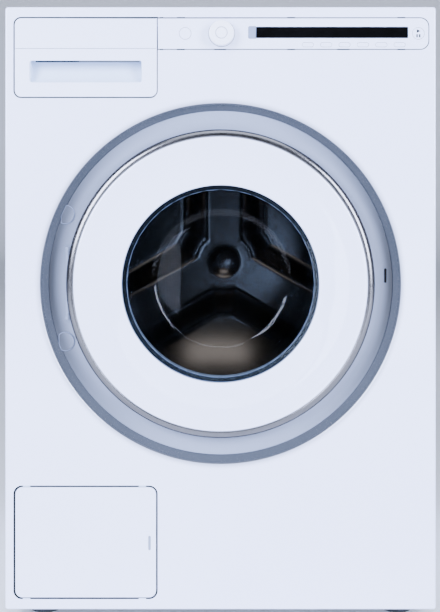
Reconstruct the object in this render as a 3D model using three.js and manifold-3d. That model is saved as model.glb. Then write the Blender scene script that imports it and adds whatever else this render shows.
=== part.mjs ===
// Front-loading washing machine, in millimetres, +Z up, origin at the middle of its footprint on the floor.
// The front faces -Y. Each piece is one closed solid in its own named mesh.
import * as THREE from "three";
import { mergeVertices } from "three/addons/utils/BufferGeometryUtils.js";
import Module from "manifold-3d";

const wasm = await Module();
wasm.setup();

// Clearances that many pieces share
const fit = 0.3; // between a piece and what it seats on
const running = 0.6; // round a piece that slides or turns
const overrun = 3; // how far a cut runs past the face that it opens

// Numbers of facets round a circle
const facets = { large: 36, medium: 18, small: 12, tiny: 6, corner: 2, belt: 15 };

// Inner radius of the tub: the door, the drum and the cabinet are built round it
const tub_radius = 255;

// Cabinet
const cabinet = {
  depth: 585,
  side_room: 42.5, // tub to the side's outer face
  under_room: 195, // underside to the tub
  head_room: 127, // tub to the top
  foot_room: 18, // floor to the underside
  sheet: 1.2, // steel sheet
  corner: 4, // bend radius of the upright edges
  edge_return: 20, // the front panel's folded edge
  skirt: 25, // height of the top panel's edge
  top_wall: 3,
};
const base_z = cabinet.foot_room;
const axis_z = base_z + cabinet.under_room + tub_radius; // the door's and the drum's common axis
cabinet.width = (tub_radius + cabinet.side_room) * 2;
cabinet.height = axis_z + tub_radius + cabinet.head_room;

// Programme knob, the foremost piece
const knob = {
  share: 0.2358, // place along the fascia
  rise: 21.3,
  radius: 17,
  proud: 14,
  taper: 0.8,
  edge: 1.4,
  shaft_radius: 4,
  shaft_length: 12,
  button_radius: 7.6,
  button_recess: 4,
  button_sunk: 0.2,
  button_thickness: 2.4,
};

// Water inlet, the rearmost piece
const inlet = {
  side_inset: 97.5,
  top_drop: 75,
  stub_radius: 13.2, // three-quarter inch pipe thread
  bore_radius: 9,
  bore_depth: 24,
  proud: 22,
  flange_radius: 21,
  flange_thickness: 3,
  body_width: 44,
  body_height: 38,
  body_length: 58,
  coil_radius: 14,
  coil_height: 30,
};

const side_x = cabinet.width / 2;
const front_y = knob.proud - cabinet.depth / 2;
const rear_y = cabinet.depth / 2 - inlet.proud;
const sheet = cabinet.sheet;
inlet.x = side_x - inlet.side_inset;
inlet.z = cabinet.height - inlet.top_drop;

// Dish round the door
const dish = {
  inset: 8, // tub to the dish's rolled edge
  floor_inset: 16,
  opening_inset: 83,
  lip: 6, // rolled edge
  rim: 4, // flat stretch joined to the panel
  depth: 14, // front plane to the surround's face
  lip_steps: 3,
};
dish.radius = tub_radius - dish.inset;
dish.floor_radius = tub_radius - dish.floor_inset;
dish.opening_radius = tub_radius - dish.opening_inset;
dish.reach = dish.radius + dish.lip;
const surround = { thickness: 3, outer_gap: 0.7, inner_gap: 3 };
surround.inner_radius = dish.opening_radius + surround.inner_gap;
const surround_y = front_y + dish.depth;
const floor_y = surround_y + surround.thickness + fit;

// Slot of the door lock's emergency release
const lock_slot = { inset: 18, rise: 10, width: 3.3, height: 20.7 };
lock_slot.x = dish.radius - lock_slot.inset;
lock_slot.z = axis_z + lock_slot.rise;

// Round covers over the hinge screws
const hinge_cap = { radius: 12.5, thickness: 1.6, inset: 35, upper_rise: 95, lower_drop: 81.5 };
hinge_cap.x = hinge_cap.inset - dish.radius;

// Drawer front and its handle recess
const drawer = {
  width_share: 0.3294,
  side_margin: 13.5,
  dish_margin: 5,
  top_margin: 15.6,
  corner: 9,
  square_corner: 0.8,
  gap: 1.4,
  thickness: 3,
  grip_margin: 20.5,
  grip_rise: 19.7,
  grip_height: 30.2,
  grip_depth: 20,
  grip_undercut: 8,
  grip_wall: 2,
  grip_corner: 2.5,
};
drawer.left = drawer.side_margin - side_x;
drawer.right = drawer.left + cabinet.width * drawer.width_share;
drawer.bottom = axis_z + dish.reach + drawer.dish_margin;
drawer.top = cabinet.height - drawer.top_margin;
drawer.grip_left = drawer.left + drawer.grip_margin;
drawer.grip_right = drawer.right - drawer.grip_margin;
drawer.grip_bottom = drawer.bottom + drawer.grip_rise;
drawer.grip_top = drawer.grip_bottom + drawer.grip_height;
const tray = { side_gap: 8, rise: 10, height: 62, length: 238, wall: 2, divider_shares: [0.36, 0.68] };
tray.left = drawer.left + tray.side_gap;
tray.right = drawer.right - tray.side_gap;
tray.bottom = drawer.bottom + tray.rise;
const housing = { wall: 2, head_room: 10, tail_room: 12, lap: 6, face: 2, top_drop: 8, bottom_lap: 7 };
housing.flange_top = cabinet.height - housing.top_drop;
housing.flange_bottom = drawer.bottom - housing.bottom_lap;

// Control fascia, flush with the front panel
const fascia = {
  side_margin: 10.5,
  height: 42.4,
  corner: 11.6,
  gap: 0.8,
  face: 2.5,
  wall: 1.4,
  depth: 16,
};
fascia.left = drawer.right + drawer.gap;
fascia.right = side_x - fascia.side_margin;
fascia.top = drawer.top;
fascia.bottom = fascia.top - fascia.height;
fascia.width = fascia.right - fascia.left;
knob.x = fascia.left + fascia.width * knob.share;
knob.z = fascia.bottom + knob.rise;

const display = {
  left_share: 0.3638, // places along the fascia
  right_share: 0.9245,
  rise: 15.2,
  height: 15.1,
  corner: 0.8,
  sunk: 0.4,
  thickness: 2.4,
  end_width: 11.3, // pale block at its left end
  end_lap: 1.2,
  end_corner: 2.4,
  end_proud: 0.6,
};
display.left = fascia.left + fascia.width * display.left_share;
display.right = fascia.left + fascia.width * display.right_share;
display.bottom = fascia.bottom + display.rise;
display.top = display.bottom + display.height;

// Push buttons: caps flush with the fascia, flanges behind it
const push = { side_gap: 0.35, flange: 1.5, oval_flange: 1, flange_thickness: 2 };
const round_button = { radius: 8.1, rise: 21.4, power_share: 0.1014, start_share: 0.9628 };
round_button.z = fascia.bottom + round_button.rise;
round_button.power_x = fascia.left + fascia.width * round_button.power_share;
round_button.start_x = fascia.left + fascia.width * round_button.start_share;
const option_button = { count: 6, first_share: 0.5543, pitch_share: 0.06788, rise: 5.8, width: 15.4, height: 5.8 };
option_button.first_x = fascia.left + fascia.width * option_button.first_share;
option_button.pitch = fascia.width * option_button.pitch_share;
option_button.z = fascia.bottom + option_button.rise;

// Service flap and what is behind it
const flap = {
  width_share: 0.326,
  side_margin: 14.5,
  base_rise: 17,
  dish_margin: 28,
  corner: 9.5,
  gap: 1.5,
  thickness: 2.5,
  rim: 6,
  rim_wall: 2,
  rim_inset: 4,
  pin_radius: 2.5,
  pin_reach: 3.2,
  pivot_rise: 12,
  pivot_depth: 6,
  ear_width: 4,
  ear_radius: 4.6,
  slot_inset: 9,
  slot_rise: 75,
  slot_width: 3.5,
  slot_height: 20,
};
flap.left = flap.side_margin - side_x;
flap.right = flap.left + cabinet.width * flap.width_share;
flap.bottom = base_z + flap.base_rise;
flap.top = axis_z - dish.reach - flap.dish_margin;
flap.slot_x = flap.right - flap.slot_inset;
flap.slot_z = flap.bottom + flap.slot_rise;
const pump = {
  box_wall: 3,
  box_lap: 2,
  box_depth: 46,
  side_inset: 55,
  rise: 63,
  sleeve_radius: 34,
  sleeve_bore: 30.6,
  sleeve_length: 74,
  motor_radius: 35,
  motor_length: 62,
  foot_width: 16,
  foot_length: 20,
};
pump.x = flap.left + pump.side_inset;
pump.z = flap.bottom + pump.rise;
const filter = {
  cap_radius: 34,
  cap_thickness: 8,
  cap_back: 40, // front plane to the cap's rear face
  grip_length: 46,
  grip_width: 8,
  grip_height: 12,
  barrel_length: 62,
};

// Base plate and feet
const base = { thickness: 1.5, rim: 8, hole_gap: 0.3 };
const foot = {
  side_inset: 47.5,
  front_inset: 60,
  rear_inset: 50,
  pad_radius: 21,
  pad_height: 6,
  neck_radius: 8,
  neck_height: 3,
  nut_radius: 12,
  nut_sides: 6,
  stud_radius: 5,
  stud_top: 42,
};
foot.x = side_x - foot.side_inset;

// Door
const door = {
  tub_inset: 51.7,
  ring_width: 67.3,
  ring_wall: 3.3,
  ring_edge: 3,
  ring_front: 5.8, // proud of the front panel
  ring_dip: 2.6, // hollow of its face
  ring_dip_steps: 4,
  bore_land: 2.5,
  bore_length: 7,
  face_wall: 3,
  back_clear: 2.5, // door's back to the surround
};
door.ring_outer = tub_radius - door.tub_inset;
door.porthole = door.ring_outer - door.ring_width;
const trim = { width: 9.7, half_thickness: 7, steps: 6, front_set: 0.3 };
const glass = {
  rim_thickness: 6.5,
  clear_inset: 9,
  neck_inset: 6.5,
  nose_inset: 25,
  nose_corner: 22,
  depth: 101,
  wall: 5,
  dome: 4,
  corner_steps: 3,
};
glass.rim_radius = door.porthole - fit;
glass.clear_radius = door.porthole - glass.clear_inset;
glass.neck_radius = door.porthole - glass.neck_inset;
glass.nose_radius = door.porthole - glass.nose_inset;
const frame = { thickness: 3, outer_inset: 3.8, sleeve_lap: 2, sleeve_gap: 0.3 };
frame.outer_radius = door.ring_outer - frame.outer_inset;
frame.sleeve_radius = door.porthole + frame.sleeve_lap;
const latch = {
  inset: 11.3,
  hook_width: 6,
  hook_height: 10,
  hook_reach: 21,
  barb: 3.5,
  barb_length: 5,
  side_room: 3,
  lock_width: 30,
  lock_height: 44,
  lock_depth: 36,
  pocket_depth: 26,
};
latch.x = door.ring_outer - latch.inset;

// Door hinge: an upright pin hidden in a notch at the door's left edge
const hinge = {
  reach: 7.7, // ring's edge to the pin's axis
  y_back: 6.5, // surround's face to the pin's axis
  pin_radius: 2,
  sleeve_radius: 4,
  sleeve_half: 43.5,
  post_half: 50,
  post_radius: 4,
  arm_length: 41,
  arm_half: 35,
  arm_thickness: 2.5,
  notch_inner: 18, // the notch's and the plate's edges, from the pin's axis
  notch_outer: 9,
  notch_half: 51.5,
  notch_front: 5.2,
  plate_outer: 15,
  plate_inner: 19,
  plate_half: 58,
  plate_thickness: 3,
  slot_gap: 0.8,
};
hinge.x = -door.ring_outer - hinge.reach;
hinge.y = surround_y - hinge.y_back;
hinge.arm_right = hinge.x + hinge.arm_length;
hinge.notch_right = hinge.x + hinge.notch_inner;
hinge.notch_left = hinge.x - hinge.notch_outer;
hinge.plate_left = hinge.x - hinge.plate_outer;
hinge.plate_right = hinge.x + hinge.plate_inner;

const door_front = front_y - door.ring_front;
const door_back = surround_y - door.back_clear;

// Suspended tub
const tub = {
  wall: 3,
  flange_width: 5,
  flange_thickness: 3,
  front_room: 70.5, // front plane to the joint between its halves
  rear_room: 120.5, // rear wall's inner face to the cabinet's rear
  boss_radius: 42,
  boss_length: 47,
  front_slope: 10,
  mouth_gap: 14,
  collar_length: 13,
};
tub.inner_radius = tub_radius;
tub.front = front_y + tub.front_room;
tub.rear = rear_y - tub.rear_room;
tub.mouth_radius = door.porthole + tub.mouth_gap;
const seal = { lip_inset: 4, wall: 4, depth: 21.5, lap: 8, fold: 7 };
seal.lip_radius = door.porthole - seal.lip_inset;
seal.outer_radius = tub.mouth_radius + seal.lap;
seal.front = front_y + seal.depth;
const bearing = { radius: 31, length: 44, groove: 1.2 };
const weight = { left_share: 0.196, right_share: 0.7255, top_drop: 64, front_gap: 58, length: 130 };
weight.left = -tub_radius * weight.left_share;
weight.right = tub_radius * weight.right_share;
weight.top = cabinet.height - weight.top_drop;
weight.front = tub.front + weight.front_gap;
weight.rear = weight.front + weight.length;
const heater = {
  tube_radius: 3.2,
  half_spacing: 30,
  front_gap: 108,
  wall_gap: 4.2,
  plate_half: 44,
  plate_height: 16,
  plate_thickness: 9,
  slot_gap: 0.4,
  sides: 8,
  bend_steps: 8,
};
heater.front = tub.front + heater.front_gap;
heater.rise = tub_radius - heater.wall_gap;

// Cradle under the tub and the four struts that carry it
const cradle = {
  width_share: 0.6824,
  drop: 17,
  side_drop: 15.5,
  rib_y: 110,
  rib_thickness: 16,
  bar_inset: 24,
  bar_width: 26,
  bar_height: 14,
  wrap_steps: 16,
};
cradle.half_width = tub_radius * cradle.width_share;
cradle.bar_x = cradle.half_width - cradle.bar_inset;
cradle.bottom = axis_z - tub_radius - cradle.drop;
cradle.side_top = axis_z - Math.sqrt((tub_radius + tub.wall) ** 2 - cradle.half_width ** 2) - cradle.side_drop;
const strut = { radius: 17, bore_gap: 0.4, rod_radius: 10, rod_bottom: 66, floor: 12, height: 128 };

// Motor and belt drive
const drive = {
  motor_drop: 68,
  motor_radius: 54,
  motor_setback: 161,
  motor_length: 128,
  motor_edge: 5,
  lug_half: 18,
  rear_room: 47.5, // middle of the belt to the cabinet's rear
  belt_width: 15,
  belt_thickness: 3,
  belt_gap: 0.3,
  small_radius: 9.5,
  small_flange: 3,
  small_bore: 5,
  tub_inset: 125,
  rim_wall: 4,
  web: 5,
  hub_radius: 24,
  hub_length: 30,
  window_count: 6,
  window_share: 0.255,
  shaft_room: 29.5,
};
drive.motor_z = cradle.bottom - drive.motor_drop;
drive.plane = rear_y - drive.rear_room;
drive.motor_front = drive.plane - drive.motor_setback;
drive.large_radius = tub_radius - drive.tub_inset;
drive.window_ring = (drive.hub_radius + drive.large_radius) / 2;
drive.window_radius = (drive.large_radius - drive.hub_radius) * drive.window_share;
drive.shaft_end = rear_y - drive.shaft_room;

// Drum
const drum = {
  tub_gap: 9.8,
  wall: 1.2,
  front_gap: 13,
  rear_gap: 26,
  corner: 12,
  corner_steps: 2,
  mouth_gap: 8,
  lip: 9,
  lip_steps: 2,
  shaft_radius: 14.7,
  shaft_step: 3, // how much thinner the shaft is behind the bearings
};
drum.radius = tub_radius - drum.tub_gap;
drum.front = tub.front + drum.front_gap;
drum.rear = tub.rear - drum.rear_gap;
drum.mouth_radius = tub.mouth_radius + drum.mouth_gap;

// Pressed star on the drum's rear wall: three arms and a hub, with a bulge between each two arms
const star = {
  arms: 3,
  inset: 6, // drum's rear edge to the arms' faces
  bulge: 30,
  arm_half: 25,
  slope: 46,
  hub_radius: 27,
  hub_fillet: 43,
  hub_dome: 5,
  rim_fade: 26,
  thickness: 2.4,
  turns: facets.large,
  ring_shares: [0.06, 0.112, 0.17, 0.25, 0.34, 0.45, 0.62, 0.86, 1],
};
star.plane = drum.rear - star.inset;
star.first_arm = Math.PI / 2;

const lifter = {
  count: 3,
  rise: 58,
  foot_half: 40,
  tip_half: 15,
  waist_share: 0.34,
  front_gap: 45,
  rear_gap: 40,
  end_share: 0.62,
  sections: 7,
  flank_steps: 4,
};
lifter.front = drum.front + lifter.front_gap;
lifter.rear = drum.rear - lifter.rear_gap;
const spider = { arm_half: 21, thickness: 12, rim_gap: 2.2, hub_radius: 36, hub_length: 24 };
spider.arm_radius = drum.radius - spider.rim_gap;

// Rear
const cover = {
  side_inset: 107.5,
  base_rise: 187,
  top_drop: 135,
  corner: 18,
  lap: 15,
  bulge: 9,
  bulge_inset: 26,
  vent_count: 7,
  vent_half: 40,
  vent_height: 4,
  vent_pitch: 11,
  vent_rise: 57,
};
cover.half_width = side_x - cover.side_inset;
cover.bottom = base_z + cover.base_rise;
cover.top = cabinet.height - cover.top_drop;
cover.vent_z = cover.bottom + cover.vent_rise;
const outlet = {
  side_inset: 92.5,
  rise: 112,
  half_width: 48,
  half_height: 30,
  thickness: 4,
  spigot_x: -22,
  spigot_radius: 11,
  spigot_bore: 8,
  spigot_proud: 14,
  gland_x: 24,
  gland_radius: 9,
  gland_bore: 4,
  gland_proud: 10,
};
outlet.x = outlet.side_inset - side_x;
outlet.z = base_z + outlet.rise;

// Shape tools

// A closed three.js geometry as a solid that can be joined and cut, whichever way its faces run.
function solid(geometry) {
  const weld = 1e-3;
  const flat = geometry.index ? geometry.toNonIndexed() : geometry;
  const plain = new THREE.BufferGeometry().setAttribute("position", flat.getAttribute("position"));
  const merged = mergeVertices(plain, weld);
  const corners = [];
  for (let i = 0; i < merged.index.count; i += 3) {
    const [a, b, c] = [0, 1, 2].map((k) => merged.index.getX(i + k));
    if (a !== b && b !== c && c !== a) corners.push([a, b, c]);
  }
  const build = (list) =>
    new wasm.Manifold(
      new wasm.Mesh({
        numProp: 3,
        vertProperties: new Float32Array(merged.attributes.position.array),
        triVerts: new Uint32Array(list.flat()),
      }),
    );
  const made = build(corners);
  return made.volume() < 0 ? build(corners.map(([a, b, c]) => [a, c, b])) : made;
}

// Joins any number of solids.
function join(...parts) {
  return parts.reduce((all, one) => all.add(one));
}

// Cuts any number of solids from the first.
function cut(body, ...tools) {
  return tools.reduce((left, tool) => left.subtract(tool), body);
}

function block(lowX, highX, lowY, highY, lowZ, highZ) {
  const box = new THREE.BoxGeometry(highX - lowX, highY - lowY, highZ - lowZ);
  box.translate((lowX + highX) / 2, (lowY + highY) / 2, (lowZ + highZ) / 2);
  return solid(box);
}

function extruded(shape, depth, basis, steps = facets.corner) {
  const made = new THREE.ExtrudeGeometry(shape, { depth, bevelEnabled: false, curveSegments: steps });
  return made.applyMatrix4(basis);
}

// An outline in x and z, between two depths along Y.
function frontPlate(shape, nearY, farY, steps) {
  const turn = new THREE.Matrix4().makeRotationX(Math.PI / 2).setPosition(0, farY, 0);
  return solid(extruded(shape, farY - nearY, turn, steps));
}

// An outline in y and z, between two places along X.
function sidePlate(shape, lowX, highX, steps) {
  const basis = new THREE.Matrix4().makeBasis(
    new THREE.Vector3(0, 1, 0),
    new THREE.Vector3(0, 0, 1),
    new THREE.Vector3(1, 0, 0),
  );
  return solid(extruded(shape, highX - lowX, basis.setPosition(lowX, 0, 0), steps));
}

// An outline in x and y, between two heights.
function floorPlate(shape, lowZ, highZ, steps) {
  return solid(extruded(shape, highZ - lowZ, new THREE.Matrix4().setPosition(0, 0, lowZ), steps));
}

// A profile of [radius, y] turned round a line along Y.
function turnedY(profile, segments, x = 0, z = axis_z) {
  const points = profile.map(([r, y]) => new THREE.Vector2(r, y));
  return solid(new THREE.LatheGeometry(points, segments).translate(x, 0, z));
}

// A profile of [radius, z] turned round an upright line.
function turnedZ(profile, segments, x, y) {
  const points = profile.map(([r, z]) => new THREE.Vector2(r, z));
  return solid(new THREE.LatheGeometry(points, segments).rotateX(Math.PI / 2).translate(x, y, 0));
}

const rod = (radius, low, high) => [[0, low], [radius, low], [radius, high], [0, high]];
const tube = (inner, outer, low, high) => [[inner, low], [outer, low], [outer, high], [inner, high], [inner, low]];

// Points on an ellipse's arc, in quarter turns from the first axis.
function arc(centreA, centreB, radiusA, radiusB, from, to, steps) {
  return Array.from({ length: steps + 1 }, (_, i) => {
    const angle = ((from + ((to - from) * i) / steps) * Math.PI) / 2;
    return [centreA + radiusA * Math.cos(angle), centreB + radiusB * Math.sin(angle)];
  });
}

// A rectangle whose four corners may have radii of their own, from the lower left, anticlockwise.
function roundedRect(left, right, bottom, top, corners) {
  const [a, b, c, d] = Array.isArray(corners) ? corners : [corners, corners, corners, corners];
  const shape = new THREE.Shape();
  shape.moveTo(left + a, bottom);
  shape.lineTo(right - b, bottom);
  shape.absarc(right - b, bottom + b, b, -Math.PI / 2, 0);
  shape.lineTo(right, top - c);
  shape.absarc(right - c, top - c, c, 0, Math.PI / 2);
  shape.lineTo(left + d, top);
  shape.absarc(left + d, top - d, d, Math.PI / 2, Math.PI);
  shape.lineTo(left, bottom + a);
  shape.absarc(left + a, bottom + a, a, Math.PI, Math.PI * 1.5);
  return shape;
}

// A rounded rectangle grown by a margin all round.
function grownRect(box, margin, corners) {
  return roundedRect(box.left - margin, box.right + margin, box.bottom - margin, box.top + margin, corners);
}

function outline(points) {
  return new THREE.Shape(points.map(([a, b]) => new THREE.Vector2(a, b)));
}

// A solid through a row of closed sections with as many points each, closed at both ends.
function lofted(sections) {
  const size = sections[0].length;
  const corner = (i, k) => sections[i][k % size];
  const triangles = [];
  for (let i = 0; i + 1 < sections.length; i++)
    for (let k = 0; k < size; k++) {
      triangles.push(corner(i, k), corner(i, k + 1), corner(i + 1, k + 1));
      triangles.push(corner(i, k), corner(i + 1, k + 1), corner(i + 1, k));
    }
  for (let k = 1; k + 1 < size; k++) {
    triangles.push(corner(0, 0), corner(0, k + 1), corner(0, k));
    const last = sections.length - 1;
    triangles.push(corner(last, 0), corner(last, k), corner(last, k + 1));
  }
  const positions = new THREE.Float32BufferAttribute(triangles.flat(), 3);
  return solid(new THREE.BufferGeometry().setAttribute("position", positions));
}

// Materials
const finish = (color, roughness, metalness = 0, extra = {}) =>
  new THREE.MeshStandardMaterial({ color, roughness, metalness, ...extra });
const looks = {
  white_steel: finish(0xe6e9f5, 0.35),
  white_plastic: finish(0xe9ecf6, 0.4),
  gloss_white: finish(0xeef1f9, 0.15),
  surround_plastic: finish(0xcdd7eb, 0.4),
  recess_plastic: finish(0xd5e4f2, 0.45),
  bright_trim: finish(0xd8d6d0, 0.12, 1),
  clear_glass: finish(0x3a4046, 0.05, 0, { transparent: true, opacity: 0.35 }),
  display_black: finish(0x0b0f12, 0.1),
  stainless: finish(0x9a9b98, 0.3, 1),
  galvanised: finish(0xa7abae, 0.5, 1),
  cast_aluminium: finish(0xa4a6a8, 0.5, 1),
  dark_plastic: finish(0x2c2f33, 0.5),
  grey_plastic: finish(0x8b9096, 0.5),
  rubber: finish(0x3b3d40, 0.8),
  concrete: finish(0x8f8d88, 0.9),
};

const washing_machine = new THREE.Group();

function piece(group, name, made, look) {
  const mesh = made.getMesh();
  const geometry = new THREE.BufferGeometry();
  geometry.setAttribute("position", new THREE.BufferAttribute(new Float32Array(mesh.vertProperties), 3));
  geometry.setIndex(new THREE.BufferAttribute(new Uint32Array(mesh.triVerts), 1));
  geometry.computeVertexNormals();
  const part = new THREE.Mesh(geometry, look);
  part.name = name;
  group.add(part);
}

function assembly() {
  const group = new THREE.Group();
  washing_machine.add(group);
  return group;
}

// Cabinet pieces
const root = assembly();

const drawer_hole = frontPlate(
  grownRect(drawer, drawer.gap, [drawer.corner + drawer.gap, drawer.gap, 0, drawer.corner + drawer.gap]),
  front_y - overrun,
  front_y + cabinet.edge_return / 2,
);
const fascia_box = { left: fascia.left, right: fascia.right, bottom: fascia.bottom, top: fascia.top };
const fascia_hole = frontPlate(
  grownRect(fascia_box, fascia.gap, [0, fascia.corner + fascia.gap, fascia.corner + fascia.gap, 0]),
  front_y - overrun,
  front_y + cabinet.edge_return / 2,
);
const flap_hole = frontPlate(
  grownRect(flap, flap.gap, flap.corner + flap.gap),
  front_y - overrun,
  front_y + cabinet.edge_return / 2,
);
const latch_hole = block(
  latch.x - latch.hook_width / 2 - latch.side_room,
  latch.x + latch.hook_width / 2 + latch.barb + latch.side_room,
  surround_y - overrun,
  floor_y + overrun,
  axis_z - latch.hook_height / 2 - latch.side_room,
  axis_z + latch.hook_height / 2 + latch.side_room,
);

// The two places where the hinge posts come through the dish's floor.
const hinge_holes = [-1, 1].map((side) => {
  const middle = axis_z + (side * (hinge.sleeve_half + hinge.post_half)) / 2;
  const half = (hinge.post_half - hinge.sleeve_half) / 2 + hinge.slot_gap;
  const reach = hinge.post_radius + hinge.slot_gap;
  return block(
    hinge.x - reach, hinge.x + reach, surround_y - overrun, floor_y + overrun, middle - half, middle + half,
  );
});

// Front sheet with the round dish pressed into it, its edges folded back.
function frontPanel() {
  const { corner, edge_return } = cabinet;
  const back = front_y + edge_return;
  const skin = roundedRect(-side_x, side_x, front_y, back, [corner, corner, 0, 0]);
  const inner = corner - sheet;
  const hollow = roundedRect(-side_x + sheet, side_x - sheet, front_y + sheet, back + overrun, [inner, inner, 0, 0]);
  const lip_r = dish.reach;
  const lip_y = front_y + dish.lip;
  const face = arc(lip_r, lip_y, dish.lip, dish.lip, -1, -2, dish.lip_steps);
  const behind = arc(lip_r, lip_y, dish.lip - sheet, dish.lip - sheet, -2, -1, dish.lip_steps);
  const dish_skin = turnedY(
    [
      [lip_r + dish.rim, front_y],
      ...face,
      [dish.floor_radius, floor_y],
      [dish.opening_radius, floor_y],
      [dish.opening_radius, floor_y + sheet],
      [dish.floor_radius + sheet, floor_y + sheet],
      ...behind,
      [lip_r + dish.rim, front_y + sheet],
      [lip_r + dish.rim, front_y],
    ],
    facets.large,
  );
  const pan = cut(
    floorPlate(skin, base_z, cabinet.height),
    floorPlate(hollow, base_z + sheet, cabinet.height - sheet),
    turnedY(rod(lip_r + dish.rim / 2, front_y - overrun, front_y + sheet + overrun), facets.large),
  );
  return cut(join(pan, dish_skin), drawer_hole, fascia_hole, flap_hole, latch_hole, ...hinge_holes);
}
piece(root, "front_panel", frontPanel(), looks.white_steel);

// One sheet bent into the left side, the rear frame and the right side.
function cabinetWrap() {
  const front = front_y + cabinet.edge_return + fit;
  const top = cabinet.height - cabinet.skirt - fit;
  const skin = cut(
    block(-side_x, side_x, front, rear_y, base_z, top),
    block(-side_x + sheet, side_x - sheet, front - overrun, rear_y - sheet, base_z - overrun, top + overrun),
  );
  const window = { left: -cover.half_width, right: cover.half_width, bottom: cover.bottom, top: cover.top };
  const behind = rear_y - sheet - overrun;
  return cut(
    skin,
    frontPlate(grownRect(window, -cover.lap, cover.corner), behind, rear_y + overrun),
    turnedY(rod(inlet.stub_radius + fit, behind, rear_y + overrun), facets.small, inlet.x, inlet.z),
    turnedY(rod(outlet.gland_bore, behind, rear_y + overrun), facets.tiny, outlet.x + outlet.gland_x, outlet.z),
    turnedY(rod(outlet.spigot_bore, behind, rear_y + overrun), facets.tiny, outlet.x + outlet.spigot_x, outlet.z),
  );
}
piece(root, "cabinet_wrap", cabinetWrap(), looks.white_steel);

function topPanel() {
  const front = front_y + cabinet.edge_return + fit;
  const wall = cabinet.top_wall;
  const low = cabinet.height - cabinet.skirt;
  return cut(
    block(-side_x, side_x, front, rear_y, low, cabinet.height),
    block(-side_x + wall, side_x - wall, front + wall, rear_y - wall, low - overrun, cabinet.height - wall),
  );
}
piece(root, "top_panel", topPanel(), looks.white_steel);

const foot_places = [
  [-foot.x, front_y + foot.front_inset],
  [foot.x, front_y + foot.front_inset],
  [-foot.x, rear_y - foot.rear_inset],
  [foot.x, rear_y - foot.rear_inset],
];

function basePlate() {
  const x = side_x - sheet - fit;
  const front = front_y + sheet + fit;
  const rear = rear_y - sheet - fit;
  const low = base_z + sheet + fit;
  const holes = foot_places.map(([px, py]) =>
    turnedZ(rod(foot.stud_radius + base.hole_gap, base_z - overrun, low + overrun * 2), facets.tiny, px, py));
  // Under the plate a pad round each hole meets the foot's nut.
  const pads = foot_places.map(([px, py]) =>
    turnedZ(rod(foot.nut_radius, base_z, low + base.thickness / 2), facets.small, px, py));
  const { corner } = cabinet;
  const inside = corner - base.thickness;
  const pan = cut(
    floorPlate(roundedRect(-x, x, front, rear, [corner, corner, 0, 0]), low, low + base.thickness + base.rim),
    floorPlate(
      roundedRect(-x + base.thickness, x - base.thickness, front + base.thickness, rear - base.thickness,
        [inside, inside, 0, 0]),
      low + base.thickness, low + base.rim + overrun * 2,
    ),
  );
  return cut(join(pan, ...pads), ...holes);
}
piece(root, "base_plate", basePlate(), looks.galvanised);
const deck_z = base_z + sheet + fit + base.thickness;

// Rear cover with a raised middle and a row of vent slots.
function rearCover() {
  const low_y = rear_y + fit;
  const edge = { left: -cover.half_width, right: cover.half_width, bottom: cover.bottom, top: cover.top };
  const hill = (inset, near, far) => {
    const box = (grow) => [
      [edge.left + grow, edge.bottom + grow],
      [edge.right - grow, edge.bottom + grow],
      [edge.right - grow, edge.top - grow],
      [edge.left + grow, edge.top - grow],
    ];
    return lofted([
      box(inset).map(([x, z]) => [x, near, z]),
      box(inset + cover.bulge).map(([x, z]) => [x, far, z]),
    ]);
  };
  const outer = join(
    frontPlate(grownRect(edge, 0, cover.corner), low_y, low_y + sheet),
    hill(cover.bulge_inset, low_y + sheet / 2, low_y + sheet + cover.bulge),
  );
  const inner = hill(cover.bulge_inset + sheet, low_y - sheet / 2, low_y + cover.bulge);
  const slots = Array.from({ length: cover.vent_count }, (_, i) => {
    const z = cover.vent_z + i * cover.vent_pitch;
    return block(-cover.vent_half, cover.vent_half, low_y - overrun, low_y + cover.bulge + overrun,
      z, z + cover.vent_height);
  });
  return cut(outer, inner, ...slots);
}
piece(root, "rear_cover", rearCover(), looks.galvanised);

// Plastic ring on the dish's floor, with the slots of the lock and the hinge.
function doorSurround() {
  const slope = (dish.radius - dish.floor_radius) / (floor_y - front_y - dish.lip);
  const outer = dish.floor_radius - surround.outer_gap;
  const ring = turnedY(
    [
      [surround.inner_radius, surround_y],
      [outer + slope * surround.thickness, surround_y],
      [outer, surround_y + surround.thickness],
      [surround.inner_radius, surround_y + surround.thickness],
      [surround.inner_radius, surround_y],
    ],
    facets.large,
  );
  const slot = block(
    lock_slot.x - lock_slot.width / 2, lock_slot.x + lock_slot.width / 2,
    surround_y - overrun, surround_y + surround.thickness + overrun,
    lock_slot.z - lock_slot.height / 2, lock_slot.z + lock_slot.height / 2,
  );
  return cut(ring, slot, latch_hole, ...hinge_holes);
}
piece(root, "door_surround", doorSurround(), looks.surround_plastic);

// Hinge covers, their outer side cut off by the dish's wall.
function hingeCap(z) {
  const low = surround_y - fit - hinge_cap.thickness;
  const disc = turnedY(
    [[0, low], [hinge_cap.radius - hinge_cap.thickness / 2, low], [hinge_cap.radius, low + hinge_cap.thickness / 2],
      [hinge_cap.radius, low + hinge_cap.thickness], [0, low + hinge_cap.thickness]],
    facets.small, hinge_cap.x, z,
  );
  const room = turnedY(rod(dish.floor_radius - running, low - overrun, surround_y + overrun), facets.large);
  return disc.intersect(room);
}
piece(root, "hinge_cap_upper", hingeCap(axis_z + hinge_cap.upper_rise), looks.surround_plastic);
piece(root, "hinge_cap_lower", hingeCap(axis_z - hinge_cap.lower_drop), looks.surround_plastic);

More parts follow.
